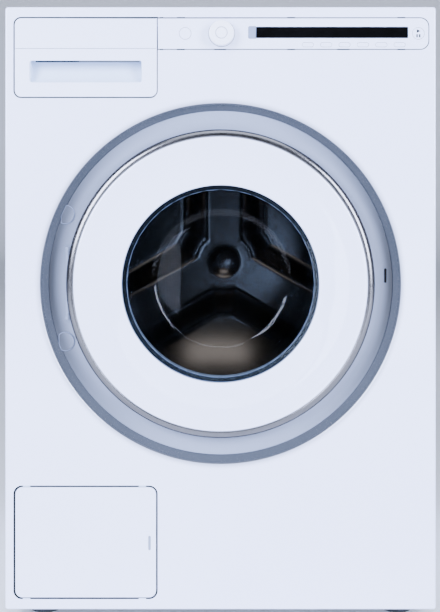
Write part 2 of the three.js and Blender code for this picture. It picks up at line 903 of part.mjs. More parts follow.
// Fixed half of the hinge: a plate behind the floor, two posts and the pin between them.
function hingeBracket() {
  const low = floor_y + sheet + fit;
  const plate = block(hinge.plate_left, hinge.plate_right, low, low + hinge.plate_thickness,
    axis_z - hinge.plate_half, axis_z + hinge.plate_half);
  const posts = [-1, 1].flatMap((side) => {
    const near = axis_z + side * (hinge.sleeve_half + fit);
    const far = axis_z + side * hinge.post_half;
    const [z0, z1] = [Math.min(near, far), Math.max(near, far)];
    return [
      turnedZ(rod(hinge.post_radius, z0, z1), facets.tiny, hinge.x, hinge.y),
      block(hinge.x - hinge.post_radius, hinge.x + hinge.post_radius, hinge.y, low + hinge.plate_thickness / 2, z0, z1),
    ];
  });
  const half = hinge.sleeve_half + fit * 2;
  const pin = turnedZ(rod(hinge.pin_radius, axis_z - half, axis_z + half), facets.tiny, hinge.x, hinge.y);
  return join(plate, ...posts, pin);
}
piece(root, "hinge_bracket", hingeBracket(), looks.galvanised);

function doorLock() {
  const low = floor_y + sheet + fit;
  const left = latch.x - latch.lock_width / 2;
  const body = block(left, left + latch.lock_width, low, low + latch.lock_depth,
    axis_z - latch.lock_height / 2, axis_z + latch.lock_height / 2);
  const pocket = block(
    latch.x - latch.hook_width / 2 - latch.side_room, latch.x + latch.hook_width / 2 + latch.barb + latch.side_room,
    low - overrun, low + latch.pocket_depth,
    axis_z - latch.hook_height / 2 - latch.side_room, axis_z + latch.hook_height / 2 + latch.side_room,
  );
  return cut(body, pocket);
}
piece(root, "door_lock", doorLock(), looks.dark_plastic);

// Control fascia: a shallow box open at the back, with holes for what shows through it.
const oval = (x, grow) => {
  const { width, height, z } = option_button;
  return roundedRect(
    x - width / 2 - grow, x + width / 2 + grow, z - height / 2 - grow, z + height / 2 + grow, height / 2 + grow,
  );
};
const option_places = Array.from({ length: option_button.count }, (_, i) => option_button.first_x + i * option_button.pitch);
const round_places = [round_button.power_x, round_button.start_x];

function controlFascia() {
  const back = front_y + fascia.depth;
  const inside = Math.max(fascia.corner - fascia.wall, 0);
  const shell = cut(
    frontPlate(grownRect(fascia_box, 0, [0, fascia.corner, fascia.corner, 0]), front_y, back),
    frontPlate(grownRect(fascia_box, -fascia.wall, [0, inside, inside, 0]), front_y + fascia.face, back + overrun),
  );
  const through = [front_y - overrun, front_y + fascia.face + overrun];
  const pad_left = display.left - display.end_width;
  const pad = frontPlate(
    roundedRect(pad_left, display.left - fit, display.bottom - display.end_lap, display.top + display.end_lap,
      [display.end_corner, 0, 0, display.end_corner]),
    front_y - display.end_proud, front_y + fascia.face / 2,
  );
  return cut(
    join(shell, pad),
    frontPlate(grownRect(display, fit, display.corner), ...through),
    turnedY(rod(knob.shaft_radius + fit, ...through), facets.small, knob.x, knob.z),
    ...round_places.map((x) =>
      turnedY(rod(round_button.radius + push.side_gap, ...through), facets.small, x, round_button.z)),
    ...option_places.map((x) => frontPlate(oval(x, push.side_gap), ...through)),
  );
}
piece(root, "control_fascia", controlFascia(), looks.white_plastic);
piece(
  root, "display_window",
  frontPlate(grownRect(display, 0, display.corner), front_y + display.sunk, front_y + display.sunk + display.thickness),
  looks.display_black,
);

// Housing round the drawer's tray, with a frame that laps behind the front panel.
const tray_front = front_y + drawer.grip_depth + drawer.grip_wall + fit;
function dispenserHousing() {
  const inner = {
    left: tray.left - running,
    right: tray.right + running,
    bottom: tray.bottom - running,
    top: tray.bottom + tray.height + housing.head_room,
  };
  const face = front_y + drawer.thickness + running;
  const rear = tray_front + tray.length + housing.tail_room;
  const box = frontPlate(grownRect(inner, housing.wall, 0), face, rear);
  const edge = {
    left: drawer.left - drawer.gap - housing.lap,
    right: inner.right + housing.wall,
    bottom: housing.flange_bottom,
    top: housing.flange_top,
  };
  const plate = frontPlate(grownRect(edge, 0, 0), face, face + housing.face);
  const lap = cut(
    frontPlate(grownRect(edge, 0, 0), front_y + sheet + fit, face + housing.face / 2),
    frontPlate(grownRect(drawer, drawer.gap + fit, 0), front_y, face + housing.face),
  );
  const strips = lap.intersect(
    block(edge.left - overrun, drawer.left + overrun, front_y, face + overrun, edge.bottom, edge.top)
      .add(block(edge.left, edge.right, front_y, face + overrun, edge.bottom, drawer.bottom)),
  );
  return cut(
    join(box, plate, strips),
    frontPlate(grownRect(inner, 0, 0), front_y, rear - housing.wall),
  );
}
piece(root, "dispenser_housing", dispenserHousing(), looks.grey_plastic);

// Drain pump: the recess behind the flap, the filter's sleeve and the motor, moulded as one.
const flap_pivot = { y: front_y + flap.pivot_depth, z: flap.bottom + flap.pivot_rise };
function drainPump() {
  const grow = flap.gap + pump.box_lap;
  const near = front_y + sheet + fit;
  const far = near + pump.box_depth;
  const swing = Math.hypot(flap.pivot_rise, flap.pivot_depth) - flap.pivot_rise + running;
  const room = { left: flap.left, right: flap.right, bottom: flap.bottom - swing, top: flap.top };
  const box = cut(
    frontPlate(grownRect(room, grow, 0), near, far),
    frontPlate(grownRect(room, grow - pump.box_wall, 0), near - overrun, far - pump.box_wall),
  );
  const sleeve = turnedY(rod(pump.sleeve_radius, far - pump.box_wall / 2, far + pump.sleeve_length),
    facets.small, pump.x, pump.z);
  const motor_y = far + pump.sleeve_length;
  const motor = turnedY(rod(pump.motor_radius, motor_y - overrun, motor_y + pump.motor_length),
    facets.small, pump.x, pump.z);
  const leg = block(pump.x - pump.foot_width, pump.x + pump.foot_width, motor_y, motor_y + pump.foot_length,
    deck_z + fit, pump.z);
  const bore = turnedY(rod(pump.sleeve_bore, near, motor_y - pump.box_wall), facets.medium, pump.x, pump.z);
  const pins = turnedPins(flap.pin_radius + running, pump.box_lap + flap.gap + overrun);
  return cut(join(box, sleeve, motor, leg), bore, ...pins);
}

// Pins, or their bores, at both ends of the flap's lower edge.
function turnedPins(radius, reach) {
  return [-1, 1].map((side) => {
    const edge = side < 0 ? flap.left : flap.right;
    const pin = new THREE.CylinderGeometry(radius, radius, reach + flap.ear_width, facets.tiny);
    pin.rotateZ(Math.PI / 2).translate(edge + (side * (reach - flap.ear_width)) / 2, flap_pivot.y, flap_pivot.z);
    return solid(pin);
  });
}
piece(root, "drain_pump", drainPump(), looks.grey_plastic);

function rearOutlet() {
  const low = rear_y + fit;
  const face = {
    left: outlet.x - outlet.half_width, right: outlet.x + outlet.half_width,
    bottom: outlet.z - outlet.half_height, top: outlet.z + outlet.half_height,
  };
  const spigot_x = outlet.x + outlet.spigot_x;
  const gland_x = outlet.x + outlet.gland_x;
  const deep = low - overrun;
  return cut(
    join(
      frontPlate(grownRect(face, 0, outlet.thickness), low, low + outlet.thickness),
      turnedY(rod(outlet.spigot_radius, low, low + outlet.spigot_proud), facets.small, spigot_x, outlet.z),
      turnedY(rod(outlet.gland_radius, low, low + outlet.gland_proud), facets.small, gland_x, outlet.z),
    ),
    turnedY(rod(outlet.spigot_bore, deep, low + outlet.spigot_proud + overrun), facets.tiny, spigot_x, outlet.z),
    turnedY(rod(outlet.gland_bore, deep, low + outlet.gland_proud + overrun), facets.tiny, gland_x, outlet.z),
  );
}
piece(root, "rear_outlet", rearOutlet(), looks.grey_plastic);

function inletValve() {
  const inner_face = rear_y - sheet - fit;
  const flange_y = inner_face - inlet.flange_thickness;
  const end = rear_y + inlet.proud;
  const body = block(
    inlet.x - inlet.body_width / 2, inlet.x + inlet.body_width / 2, flange_y - inlet.body_length, flange_y + fit,
    inlet.z - inlet.body_height / 2, inlet.z + inlet.body_height / 2,
  );
  return cut(
    join(
      body,
      turnedY(rod(inlet.flange_radius, flange_y, inner_face), facets.small, inlet.x, inlet.z),
      turnedY(rod(inlet.stub_radius, flange_y, end), facets.small, inlet.x, inlet.z),
      turnedY(rod(inlet.coil_radius, flange_y - inlet.body_length - inlet.coil_height, flange_y - inlet.body_length + fit),
        facets.small, inlet.x, inlet.z),
    ),
    turnedY(rod(inlet.bore_radius, end - inlet.bore_depth, end + overrun), facets.small, inlet.x, inlet.z),
  );
}
piece(root, "inlet_valve", inletValve(), looks.grey_plastic);

const strut_places = [[-1, -1], [1, -1], [-1, 1], [1, 1]].map(([a, b]) => [a * cradle.bar_x, b * cradle.rib_y]);
strut_places.forEach(([x, y], i) => {
  const low = deck_z + fit;
  const bore = strut.rod_radius + strut.bore_gap;
  const profile = [
    [0, low], [strut.radius, low], [strut.radius, low + strut.height], [bore, low + strut.height],
    [bore, low + strut.floor], [0, low + strut.floor],
  ];
  piece(root, `strut_cylinder_${i + 1}`, turnedZ(profile, facets.small, x, y), looks.dark_plastic);
});

// Buttons and knob
const press_y = front_y + fascia.face + fit;
function roundPush(x) {
  return join(
    turnedY(rod(round_button.radius, front_y, press_y + push.flange_thickness / 2), facets.small, x, round_button.z),
    turnedY(rod(round_button.radius + push.flange, press_y, press_y + push.flange_thickness), facets.small, x,
      round_button.z),
  );
}
piece(assembly(), "power_button", roundPush(round_button.power_x), looks.white_plastic);
piece(assembly(), "start_button", roundPush(round_button.start_x), looks.white_plastic);
option_places.forEach((x, i) => {
  const made = join(
    frontPlate(oval(x, 0), front_y, press_y + push.flange_thickness / 2),
    frontPlate(oval(x, push.oval_flange), press_y, press_y + push.flange_thickness),
  );
  piece(assembly(), `option_button_${i + 1}`, made, looks.white_plastic);
});

function programKnob() {
  const face = front_y - knob.proud;
  const back = front_y - fit * 2;
  const well = knob.button_radius + fit;
  const inner = face + knob.button_recess;
  return turnedY(
    [
      [0, back + knob.shaft_length], [knob.shaft_radius, back + knob.shaft_length], [knob.shaft_radius, back],
      [knob.radius, back], [knob.radius - knob.taper, face + knob.edge],
      [knob.radius - knob.taper - knob.edge / 3, face + knob.edge / 3], [knob.radius - knob.taper - knob.edge, face],
      [well, face], [well, inner], [0, inner],
    ],
    facets.medium, knob.x, knob.z,
  );
}
piece(assembly(), "program_knob", programKnob(), looks.gloss_white);
const knob_button_y = front_y - knob.proud + knob.button_sunk;
piece(
  assembly(), "knob_button",
  turnedY(rod(knob.button_radius, knob_button_y, knob_button_y + knob.button_thickness), facets.small, knob.x, knob.z),
  looks.white_plastic,
);

// Drawer
const drawer_group = assembly();

// Front with its handle recess: a curved pocket that runs up behind the face.
function drawerFront() {
  const plate = frontPlate(
    grownRect(drawer, 0, [drawer.corner, drawer.square_corner, 0, drawer.corner]), front_y, front_y + drawer.thickness,
  );
  const pocket_top = drawer.grip_top + drawer.grip_undercut;
  const back = front_y + drawer.grip_depth;
  const wall = drawer.grip_wall;
  const shell = frontPlate(
    roundedRect(drawer.grip_left - wall, drawer.grip_right + wall, drawer.grip_bottom - wall, pocket_top + wall,
      drawer.grip_corner),
    front_y + drawer.thickness / 2, back + wall,
  );
  const side = (grow) => outline([
    [front_y + drawer.thickness, drawer.grip_bottom],
    ...arc(front_y + drawer.thickness, pocket_top - grow, back - front_y - drawer.thickness, pocket_top - grow
      - drawer.grip_bottom, -1, 0, 6),
    [back, pocket_top],
    [front_y + drawer.thickness, pocket_top],
  ]);
  const hollow = sidePlate(side(drawer.grip_wall), drawer.grip_left, drawer.grip_right);
  const mouth = frontPlate(
    roundedRect(drawer.grip_left, drawer.grip_right, drawer.grip_bottom, drawer.grip_top, drawer.grip_corner),
    front_y - overrun, front_y + drawer.thickness + fit,
  );
  return cut(join(plate, shell), hollow, mouth);
}
piece(drawer_group, "drawer_front", drawerFront(), looks.white_plastic);

function drawerTray() {
  const { left, right, bottom, height, length, wall } = tray;
  const box = cut(
    block(left, right, tray_front, tray_front + length, bottom, bottom + height),
    block(left + wall, right - wall, tray_front + wall, tray_front + length - wall, bottom + wall,
      bottom + height + overrun),
  );
  const dividers = tray.divider_shares.map((share) => {
    const x = left + share * (right - left);
    return block(x - wall / 2, x + wall / 2, tray_front + wall / 2, tray_front + length - wall / 2, bottom + wall / 2,
      bottom + height);
  });
  return join(box, ...dividers);
}
piece(drawer_group, "drawer_tray", drawerTray(), looks.recess_plastic);

// Service flap with its stiffening rim, hinge ears and coin slot
function serviceFlap() {
  const back = front_y + flap.thickness;
  const inset = flap.rim_inset;
  const plate = frontPlate(grownRect(flap, 0, flap.corner), front_y, back);
  const rim = cut(
    frontPlate(grownRect(flap, -inset, flap.corner - inset), back - fit, back + flap.rim),
    frontPlate(grownRect(flap, -inset - flap.rim_wall, flap.corner - inset - flap.rim_wall), back - fit * 2,
      back + flap.rim + overrun),
  );
  const ears = [flap.left, flap.right - flap.ear_width].map((x) => {
    const ear = new THREE.CylinderGeometry(flap.ear_radius, flap.ear_radius, flap.ear_width, facets.small);
    ear.rotateZ(Math.PI / 2).translate(x + flap.ear_width / 2, flap_pivot.y, flap_pivot.z);
    return join(
      solid(ear),
      block(x, x + flap.ear_width, back - fit, flap_pivot.y, flap_pivot.z - flap.ear_radius / 2,
        flap_pivot.z + flap.ear_radius),
    );
  });
  const slot = frontPlate(
    roundedRect(flap.slot_x - flap.slot_width / 2, flap.slot_x + flap.slot_width / 2,
      flap.slot_z - flap.slot_height / 2, flap.slot_z + flap.slot_height / 2, flap.slot_width / 2),
    front_y - overrun, back + flap.rim + overrun,
  );
  return cut(join(plate, rim, ...ears, ...turnedPins(flap.pin_radius, flap.pin_reach)), slot);
}
piece(assembly(), "service_flap", serviceFlap(), looks.white_plastic);

// Drain filter: cap with a grip bar, and the barrel that reaches into the pump
function drainFilter() {
  const back = front_y + filter.cap_back;
  const barrel = pump.sleeve_bore * Math.cos(Math.PI / facets.medium) - fit;
  const front = back - filter.cap_thickness;
  return join(
    turnedY(
      [[0, front], [filter.cap_radius, front], [filter.cap_radius, back], [barrel, back],
        [barrel, back + filter.barrel_length], [0, back + filter.barrel_length]],
      facets.medium, pump.x, pump.z,
    ),
    block(pump.x - filter.grip_length / 2, pump.x + filter.grip_length / 2, front - filter.grip_height, front + fit,
      pump.z - filter.grip_width / 2, pump.z + filter.grip_width / 2),
  );
}
piece(assembly(), "drain_filter", drainFilter(), looks.grey_plastic);

// Screw feet: pad, nut and stud
foot_places.forEach(([x, y], i) => {
  const pad = turnedZ(
    [[0, 0], [foot.pad_radius, 0], [foot.pad_radius, foot.pad_height], [foot.neck_radius, foot.pad_height],
      [foot.neck_radius, foot.pad_height + foot.neck_height], [0, foot.pad_height + foot.neck_height]],
    facets.small, x, y,
  );
  const neck_z = foot.pad_height + foot.neck_height;
  const nut = turnedZ(rod(foot.nut_radius, neck_z - fit, base_z - fit), foot.nut_sides, x, y);
  const stud = turnedZ(rod(foot.stud_radius, neck_z, foot.stud_top), facets.tiny, x, y);
  piece(assembly(), `foot_${i + 1}`, join(pad, nut, stud), looks.dark_plastic);
});

// Door
const door_group = assembly();

// The room that the hinge needs at the door's left edge.
const hinge_notch = block(hinge.notch_left, hinge.notch_right, hinge.y - hinge.notch_front, surround_y + overrun,
  axis_z - hinge.notch_half, axis_z + hinge.notch_half);

// White ring, slightly hollow across its face.
function doorRing() {
  const inner = door.ring_outer - door.ring_wall;
  const faceLine = (from, to) =>
    Array.from({ length: door.ring_dip_steps + 1 }, (_, i) => {
      const t = i / door.ring_dip_steps;
      return [from + (to - from) * t, door_front + door.ring_dip * Math.sin(Math.PI * t)];
    });
  const land = door.porthole + door.bore_land;
  const profile = [
    [door.ring_outer, door_back],
    [door.ring_outer, door_front + door.ring_edge],
    [door.ring_outer - door.ring_edge / 3, door_front + door.ring_edge / 3],
    ...faceLine(door.ring_outer - door.ring_edge, door.porthole + door.ring_edge),
    [door.porthole, door_front + door.ring_edge / 2],
    [door.porthole, door_front + door.bore_length],
    [land, door_front + door.bore_length],
    [land + fit, door_front + door.face_wall],
    [(land + inner) / 2, door_front + door.face_wall + door.ring_dip],
    [inner - fit, door_front + door.face_wall],
    [inner, door_back],
    [door.ring_outer, door_back],
  ];
  return cut(turnedY(profile, facets.large), hinge_notch);
}
piece(door_group, "door_ring", doorRing(), looks.gloss_white);

// Bright trim, half round, with its chamfered back clear of the hinge.
function doorTrim() {
  const inner = door.ring_outer + fit;
  const middle = door_front + trim.front_set + trim.half_thickness;
  const bow = arc(inner, middle, trim.width, trim.half_thickness, -1, 1, trim.steps);
  return cut(turnedY([...bow, bow[0]], facets.large), hinge_notch);
}
piece(door_group, "door_trim", doorTrim(), looks.bright_trim);

// Glass bowl: a rim held behind the ring, tapering back to a rounded, slightly domed nose.
function doorGlass() {
  const front = door_front + door.ring_edge / 2;
  const rim_back = front + glass.rim_thickness;
  const nose = door_front + glass.depth;
  const corner = (shrink) =>
    arc(glass.nose_radius - glass.nose_corner, nose - glass.nose_corner, glass.nose_corner - shrink,
      glass.nose_corner - shrink, 0, 1, glass.corner_steps);
  const outer = [[glass.rim_radius, front], [glass.rim_radius, rim_back], [glass.neck_radius, rim_back], ...corner(0),
    [0, nose + glass.dome]];
  const inner = [[0, nose + glass.dome - glass.wall], ...corner(glass.wall).reverse(),
    [glass.neck_radius - glass.wall, rim_back], [glass.clear_radius, front]];
  return turnedY([...outer, ...inner, outer[0]], facets.large);
}
piece(door_group, "door_glass", doorGlass(), looks.clear_glass);

// Rear frame of the door: holds the glass's rim and carries the latch hook.
function doorInnerFrame() {
  const back = door_back;
  const face = back - frame.thickness;
  const bore = glass.neck_radius + frame.sleeve_gap;
  const sleeve_front = door_front + door.ring_edge / 2 + glass.rim_thickness + fit;
  const ring = turnedY(
    [[bore, sleeve_front], [frame.sleeve_radius, sleeve_front], [frame.sleeve_radius, face], [frame.outer_radius, face],
      [frame.outer_radius, back], [bore, back], [bore, sleeve_front]],
    facets.large,
  );
  const z0 = axis_z - latch.hook_height / 2;
  const z1 = axis_z + latch.hook_height / 2;
  const x0 = latch.x - latch.hook_width / 2;
  const x1 = latch.x + latch.hook_width / 2;
  const hook = join(
    block(x0, x1, face, back + latch.hook_reach, z0, z1),
    block(x0, x1 + latch.barb, back + latch.hook_reach - latch.barb_length, back + latch.hook_reach, z0, z1),
  );
  return join(ring, hook);
}
piece(door_group, "door_inner_frame", doorInnerFrame(), looks.surround_plastic);

// Moving half of the hinge: a sleeve on the pin and an arm clamped in front of the inner frame.
function hingeArm() {
  const back = door_back - frame.thickness - fit;
  const sleeve = turnedZ(
    tube(hinge.pin_radius + fit, hinge.sleeve_radius, axis_z - hinge.sleeve_half, axis_z + hinge.sleeve_half),
    facets.tiny, hinge.x, hinge.y,
  );
  const arm = block(hinge.x + hinge.pin_radius + fit * 2, hinge.arm_right, back - hinge.arm_thickness, back,
    axis_z - hinge.arm_half, axis_z + hinge.arm_half);
  return join(sleeve, arm);
}
piece(door_group, "door_hinge_arm", hingeArm(), looks.galvanised);

// Tub: rear half with the bearing boss
const tub_group = assembly();
const tub_outer = tub.inner_radius + tub.wall;

function outerTub() {
  const flange_r = tub_outer + tub.flange_width;
  const boss_y = tub.rear + tub.wall + tub.boss_length;
  const bore = bearing.radius + fit;
  const shell = turnedY(
    [
      [tub.inner_radius, tub.front], [flange_r, tub.front], [flange_r, tub.front + tub.flange_thickness],
      [tub_outer, tub.front + tub.flange_thickness], [tub_outer, tub.rear + tub.wall],
      [tub.boss_radius, tub.rear + tub.wall], [tub.boss_radius, boss_y], [bore, boss_y], [bore, tub.rear],
      [tub.inner_radius, tub.rear], [tub.inner_radius, tub.front],
    ],
    facets.large,
  );
  const slot = heater.slot_gap;
  const low = axis_z - Math.sqrt(heater.rise ** 2 - heater.half_spacing ** 2);
  const reach = heater.half_spacing + heater.tube_radius + slot;
  const hole = block(-reach, reach, tub.rear - overrun, tub.rear + tub.wall + overrun,
    low - heater.tube_radius - slot, low + heater.tube_radius + slot);
  return cut(shell, hole);
}
piece(tub_group, "outer_tub", outerTub(), looks.stainless);

// Front half of the tub, sloping in to the collar round its mouth
function tubFront() {
  const flange_r = tub_outer + tub.flange_width;
  const joint = tub.front - fit;
  const wall = tub.wall;
  const shoulder = joint - wall;
  const mouth = shoulder - tub.front_slope;
  return turnedY(
    [
      [flange_r, joint], [flange_r, shoulder], [tub.inner_radius - tub.front_slope, shoulder],
      [tub.mouth_radius + wall, mouth], [tub.mouth_radius + wall, mouth - tub.collar_length],
      [tub.mouth_radius, mouth - tub.collar_length], [tub.mouth_radius, mouth + wall],
      [tub.inner_radius - tub.front_slope, joint], [flange_r, joint],
    ],
    facets.large,
  );
}
piece(tub_group, "tub_front", tubFront(), looks.stainless);

// Rubber seal on the collar, with a fold and a lip towards the door's bowl
function doorSeal() {
  const collar_front = tub.front - fit - tub.wall - tub.front_slope - tub.collar_length;
  const inner = tub.mouth_radius - fit;
  const back = collar_front + tub.collar_length - tub.wall;
  const { wall, fold, front, lip_radius, outer_radius } = seal;
  const near = collar_front - fit;
  return turnedY(
    [
      [inner, back], [inner, near], [outer_radius - wall, near], [outer_radius, near - wall / 2],
      [outer_radius, front + wall / 2], [outer_radius - wall / 2, front], [lip_radius + fold, front],
      [lip_radius, front + fold], [lip_radius, front + fold + wall], [lip_radius + fold, front + wall * 2],
      [inner - wall, near - wall / 2], [inner - wall, back], [inner, back],
    ],
    facets.medium,
  );
}
piece(tub_group, "door_seal", doorSeal(), looks.rubber);

// Two bearings in one cartridge, a groove between them
function bearingCartridge() {
  const low = tub.rear + tub.wall;
  const high = low + bearing.length;
  const middle = (low + high) / 2;
  const { radius, groove } = bearing;
  const bore = drum.shaft_radius + fit;
  return turnedY(
    [
      [bore, low], [radius, low], [radius, middle - groove], [radius - groove, middle], [radius, middle + groove],
      [radius, high], [bore, high], [bore, low],
    ],
    facets.medium,
  );
}
piece(tub_group, "bearing_cartridge", bearingCartridge(), looks.galvanised);

// The part of a circle round the tub's axis between two places along X, from the left, seen from the front
function tubArc(radius, left, right, steps) {
  const [a, b] = [left, right].map((x) => Math.acos(x / radius));
  return Array.from({ length: steps + 1 }, (_, i) => {
    const angle = a + ((b - a) * i) / steps;
    return [radius * Math.cos(angle), radius * Math.sin(angle)];
  });
}

function counterweight() {
  const saddle = tubArc(tub_outer + fit * 2, weight.left, weight.right, cradle.wrap_steps);
  const shape = outline([
    ...saddle.map(([x, rise]) => [x, axis_z + rise]), [weight.right, weight.top], [weight.left, weight.top],
  ]);
  return frontPlate(shape, weight.front, weight.rear);
}
piece(tub_group, "counterweight", counterweight(), looks.concrete);

// Heater: a bent tube low in the tub, its plate outside the rear wall
function heaterElement() {
  const { half_spacing, tube_radius, front } = heater;
  const end = tub.rear + tub.wall + fit * 2;
  const z = axis_z - Math.sqrt(heater.rise ** 2 - half_spacing ** 2);
  const ringAt = (x, y, angle) =>
    Array.from({ length: heater.sides }, (_, k) => {
      const turn = (k / heater.sides) * Math.PI * 2;
      const out = tube_radius * Math.cos(turn);
      return [x + out * Math.cos(angle), y + out * Math.sin(angle), z + tube_radius * Math.sin(turn)];
    });
  const bend = Array.from({ length: heater.bend_steps + 1 }, (_, i) => {
    const angle = Math.PI * (1 + i / heater.bend_steps);
    return ringAt(half_spacing * Math.cos(angle), front + half_spacing * Math.sin(angle), angle);
  });
  const bent = lofted([ringAt(-half_spacing, end, Math.PI), ...bend, ringAt(half_spacing, end, Math.PI * 2)]);
  const plate_y = tub.rear + tub.wall + fit;
  const plate = block(-heater.plate_half, heater.plate_half, plate_y, plate_y + heater.plate_thickness,
    z - heater.plate_height / 2, z + heater.plate_height / 2);
  return join(bent, plate);
}
piece(tub_group, "heater", heaterElement(), looks.galvanised);

// Cradle: two saddles under the tub, two bars along it and the four struts' rods
function tubCradle() {
  const radius = tub_outer + fit;
  const saddle = tubArc(radius, -cradle.half_width, cradle.half_width, cradle.wrap_steps)
    .map(([x, rise]) => [x, axis_z - rise]);
  const shape = outline([
    [-cradle.half_width, cradle.bottom], [cradle.half_width, cradle.bottom], [cradle.half_width, cradle.side_top],
    ...saddle.reverse(), [-cradle.half_width, cradle.side_top],
  ]);
  const half = cradle.rib_thickness / 2;
  const ribs = [-1, 1].map((side) => frontPlate(shape, side * cradle.rib_y - half, side * cradle.rib_y + half));
  const bars = [-1, 1].map((side) => {
    const x = side * cradle.bar_x;
    return block(x - cradle.bar_width / 2, x + cradle.bar_width / 2, -cradle.rib_y, cradle.rib_y, cradle.bottom,
      cradle.bottom + cradle.bar_height);
  });
  const rods = strut_places.map(([x, y]) =>
    turnedZ(rod(strut.rod_radius, strut.rod_bottom, cradle.bottom + fit), facets.small, x, y));
  return join(...ribs, ...bars, ...rods);
}
piece(tub_group, "tub_cradle", tubCradle(), looks.galvanised);

// Motor under the tub, hung by a lug from the rear saddle, its shaft to the rear
function motor() {
  const { motor_z, motor_radius, motor_front, motor_length, motor_edge, plane, belt_width, small_bore } = drive;
  const rear = motor_front + motor_length;
  const body = turnedY(
    [
      [0, motor_front], [motor_radius - motor_edge, motor_front], [motor_radius, motor_front + motor_edge],
      [motor_radius, rear - motor_edge], [motor_radius - motor_edge, rear], [0, rear],
    ],
    facets.medium, 0, motor_z,
  );
  const shaft = turnedY(rod(small_bore, rear - fit, plane - belt_width / 2 - drive.small_flange), facets.tiny, 0, motor_z);
  const half = cradle.rib_thickness / 2;
  const lug = block(-drive.lug_half, drive.lug_half, cradle.rib_y - half, cradle.rib_y + half,
    motor_z + motor_radius / 2, cradle.bottom - fit);
  return join(body, shaft, lug);
}
piece(tub_group, "motor", motor(), looks.cast_aluminium);

// Belt: a loop round both pulleys
function driveBelt() {
  const { large_radius, small_radius, motor_z, belt_gap, belt_thickness, belt_width, plane } = drive;
  const span = axis_z - motor_z;
  const tilt = -Math.asin((large_radius - small_radius) / span);
  const loop = (grow, Kind) => {
    const path = new Kind();
    path.absarc(0, axis_z, large_radius + grow, tilt, Math.PI - tilt);
    path.absarc(0, motor_z, small_radius + grow, Math.PI - tilt, Math.PI * 2 + tilt);
    path.closePath();
    return path;
  };
  const shape = loop(belt_gap + belt_thickness, THREE.Shape);
  shape.holes.push(loop(belt_gap, THREE.Path));
  return frontPlate(shape, plane - belt_width / 2, plane + belt_width / 2, facets.belt);
}
piece(tub_group, "drive_belt", driveBelt(), looks.rubber);

// Drum
const drum_group = assembly();

function drumShell() {
  const { radius, wall, front, rear, corner, mouth_radius, lip } = drum;
  const bend = (shrink) => arc(radius - corner, front + corner, corner - shrink, corner - shrink, 0, -1,
    drum.corner_steps);
  const roll = (shrink) => arc(mouth_radius + lip, front - wall * 2, lip - shrink, lip - shrink, -1, -2, drum.lip_steps);
  const outside = [[radius, rear], ...bend(0), [mouth_radius + lip * 2, front], ...roll(0)];
  const inside = [...roll(wall).reverse(), [mouth_radius + lip * 2, front + wall], ...bend(wall).reverse(),
    [radius - wall, rear]];
  return turnedY([...outside, ...inside, outside[0]], facets.large);
}
piece(drum_group, "drum_shell", drumShell(), looks.stainless);

// How far the rear wall stands forward at a radius and an angle: level on the arms and the hub,
// swelling to a broad bulge between each two arms, and level again at the rim.
function starRise(radius, angle) {
  const ease = (t) => {
    const c = Math.min(Math.max(t, 0), 1);
    return c * c * (3 - 2 * c);
  };
  const turn = (Math.PI * 2) / star.arms;
  const off = Math.abs(((((angle - star.first_arm) % turn) + turn * 1.5) % turn) - turn / 2);
  const beside = ease((radius * Math.sin(off) - star.arm_half) / star.slope);
  const outside_hub = ease((radius - star.hub_fillet) / star.slope);
  const inside_rim = ease((drum.radius - radius) / star.rim_fade);
  const dome = radius < star.hub_radius ? star.hub_dome * (1 - (radius / star.hub_radius) ** 2) : 0;
  return star.bulge * Math.min(beside, outside_hub) * inside_rim + dome;
}

// Rear wall of the drum: a grid of rings and spokes over the star's surface, and the same again behind it.
function drumBack() {
  const outer = drum.radius - drum.wall - fit;
  const radii = star.ring_shares.map((share) => share * outer);
  const face = (setback) => {
    const rings = radii.map((r) =>
      Array.from({ length: star.turns }, (_, k) => {
        const angle = (k / star.turns) * Math.PI * 2;
        return [r * Math.cos(angle), star.plane + setback - starRise(r, angle), axis_z + r * Math.sin(angle)];
      }));
    return { rings, middle: [0, star.plane + setback - starRise(0, 0), axis_z] };
  };
  const front = face(0);
  const back = face(star.thickness);
  const triangles = [];
  const quad = (a, b, c, d) => triangles.push(a, b, c, a, c, d);
  for (let k = 0; k < star.turns; k++) {
    const n = (k + 1) % star.turns;
    triangles.push(front.middle, front.rings[0][k], front.rings[0][n]);
    triangles.push(back.middle, back.rings[0][n], back.rings[0][k]);
    for (let i = 0; i + 1 < radii.length; i++) {
      quad(front.rings[i][k], front.rings[i + 1][k], front.rings[i + 1][n], front.rings[i][n]);
      quad(back.rings[i][k], back.rings[i][n], back.rings[i + 1][n], back.rings[i + 1][k]);
    }
    const last = radii.length - 1;
    quad(front.rings[last][k], back.rings[last][k], back.rings[last][n], front.rings[last][n]);
  }
  const positions = new THREE.Float32BufferAttribute(triangles.flat(), 3);
  return solid(new THREE.BufferGeometry().setAttribute("position", positions));
}
piece(drum_group, "drum_back", drumBack(), looks.stainless);

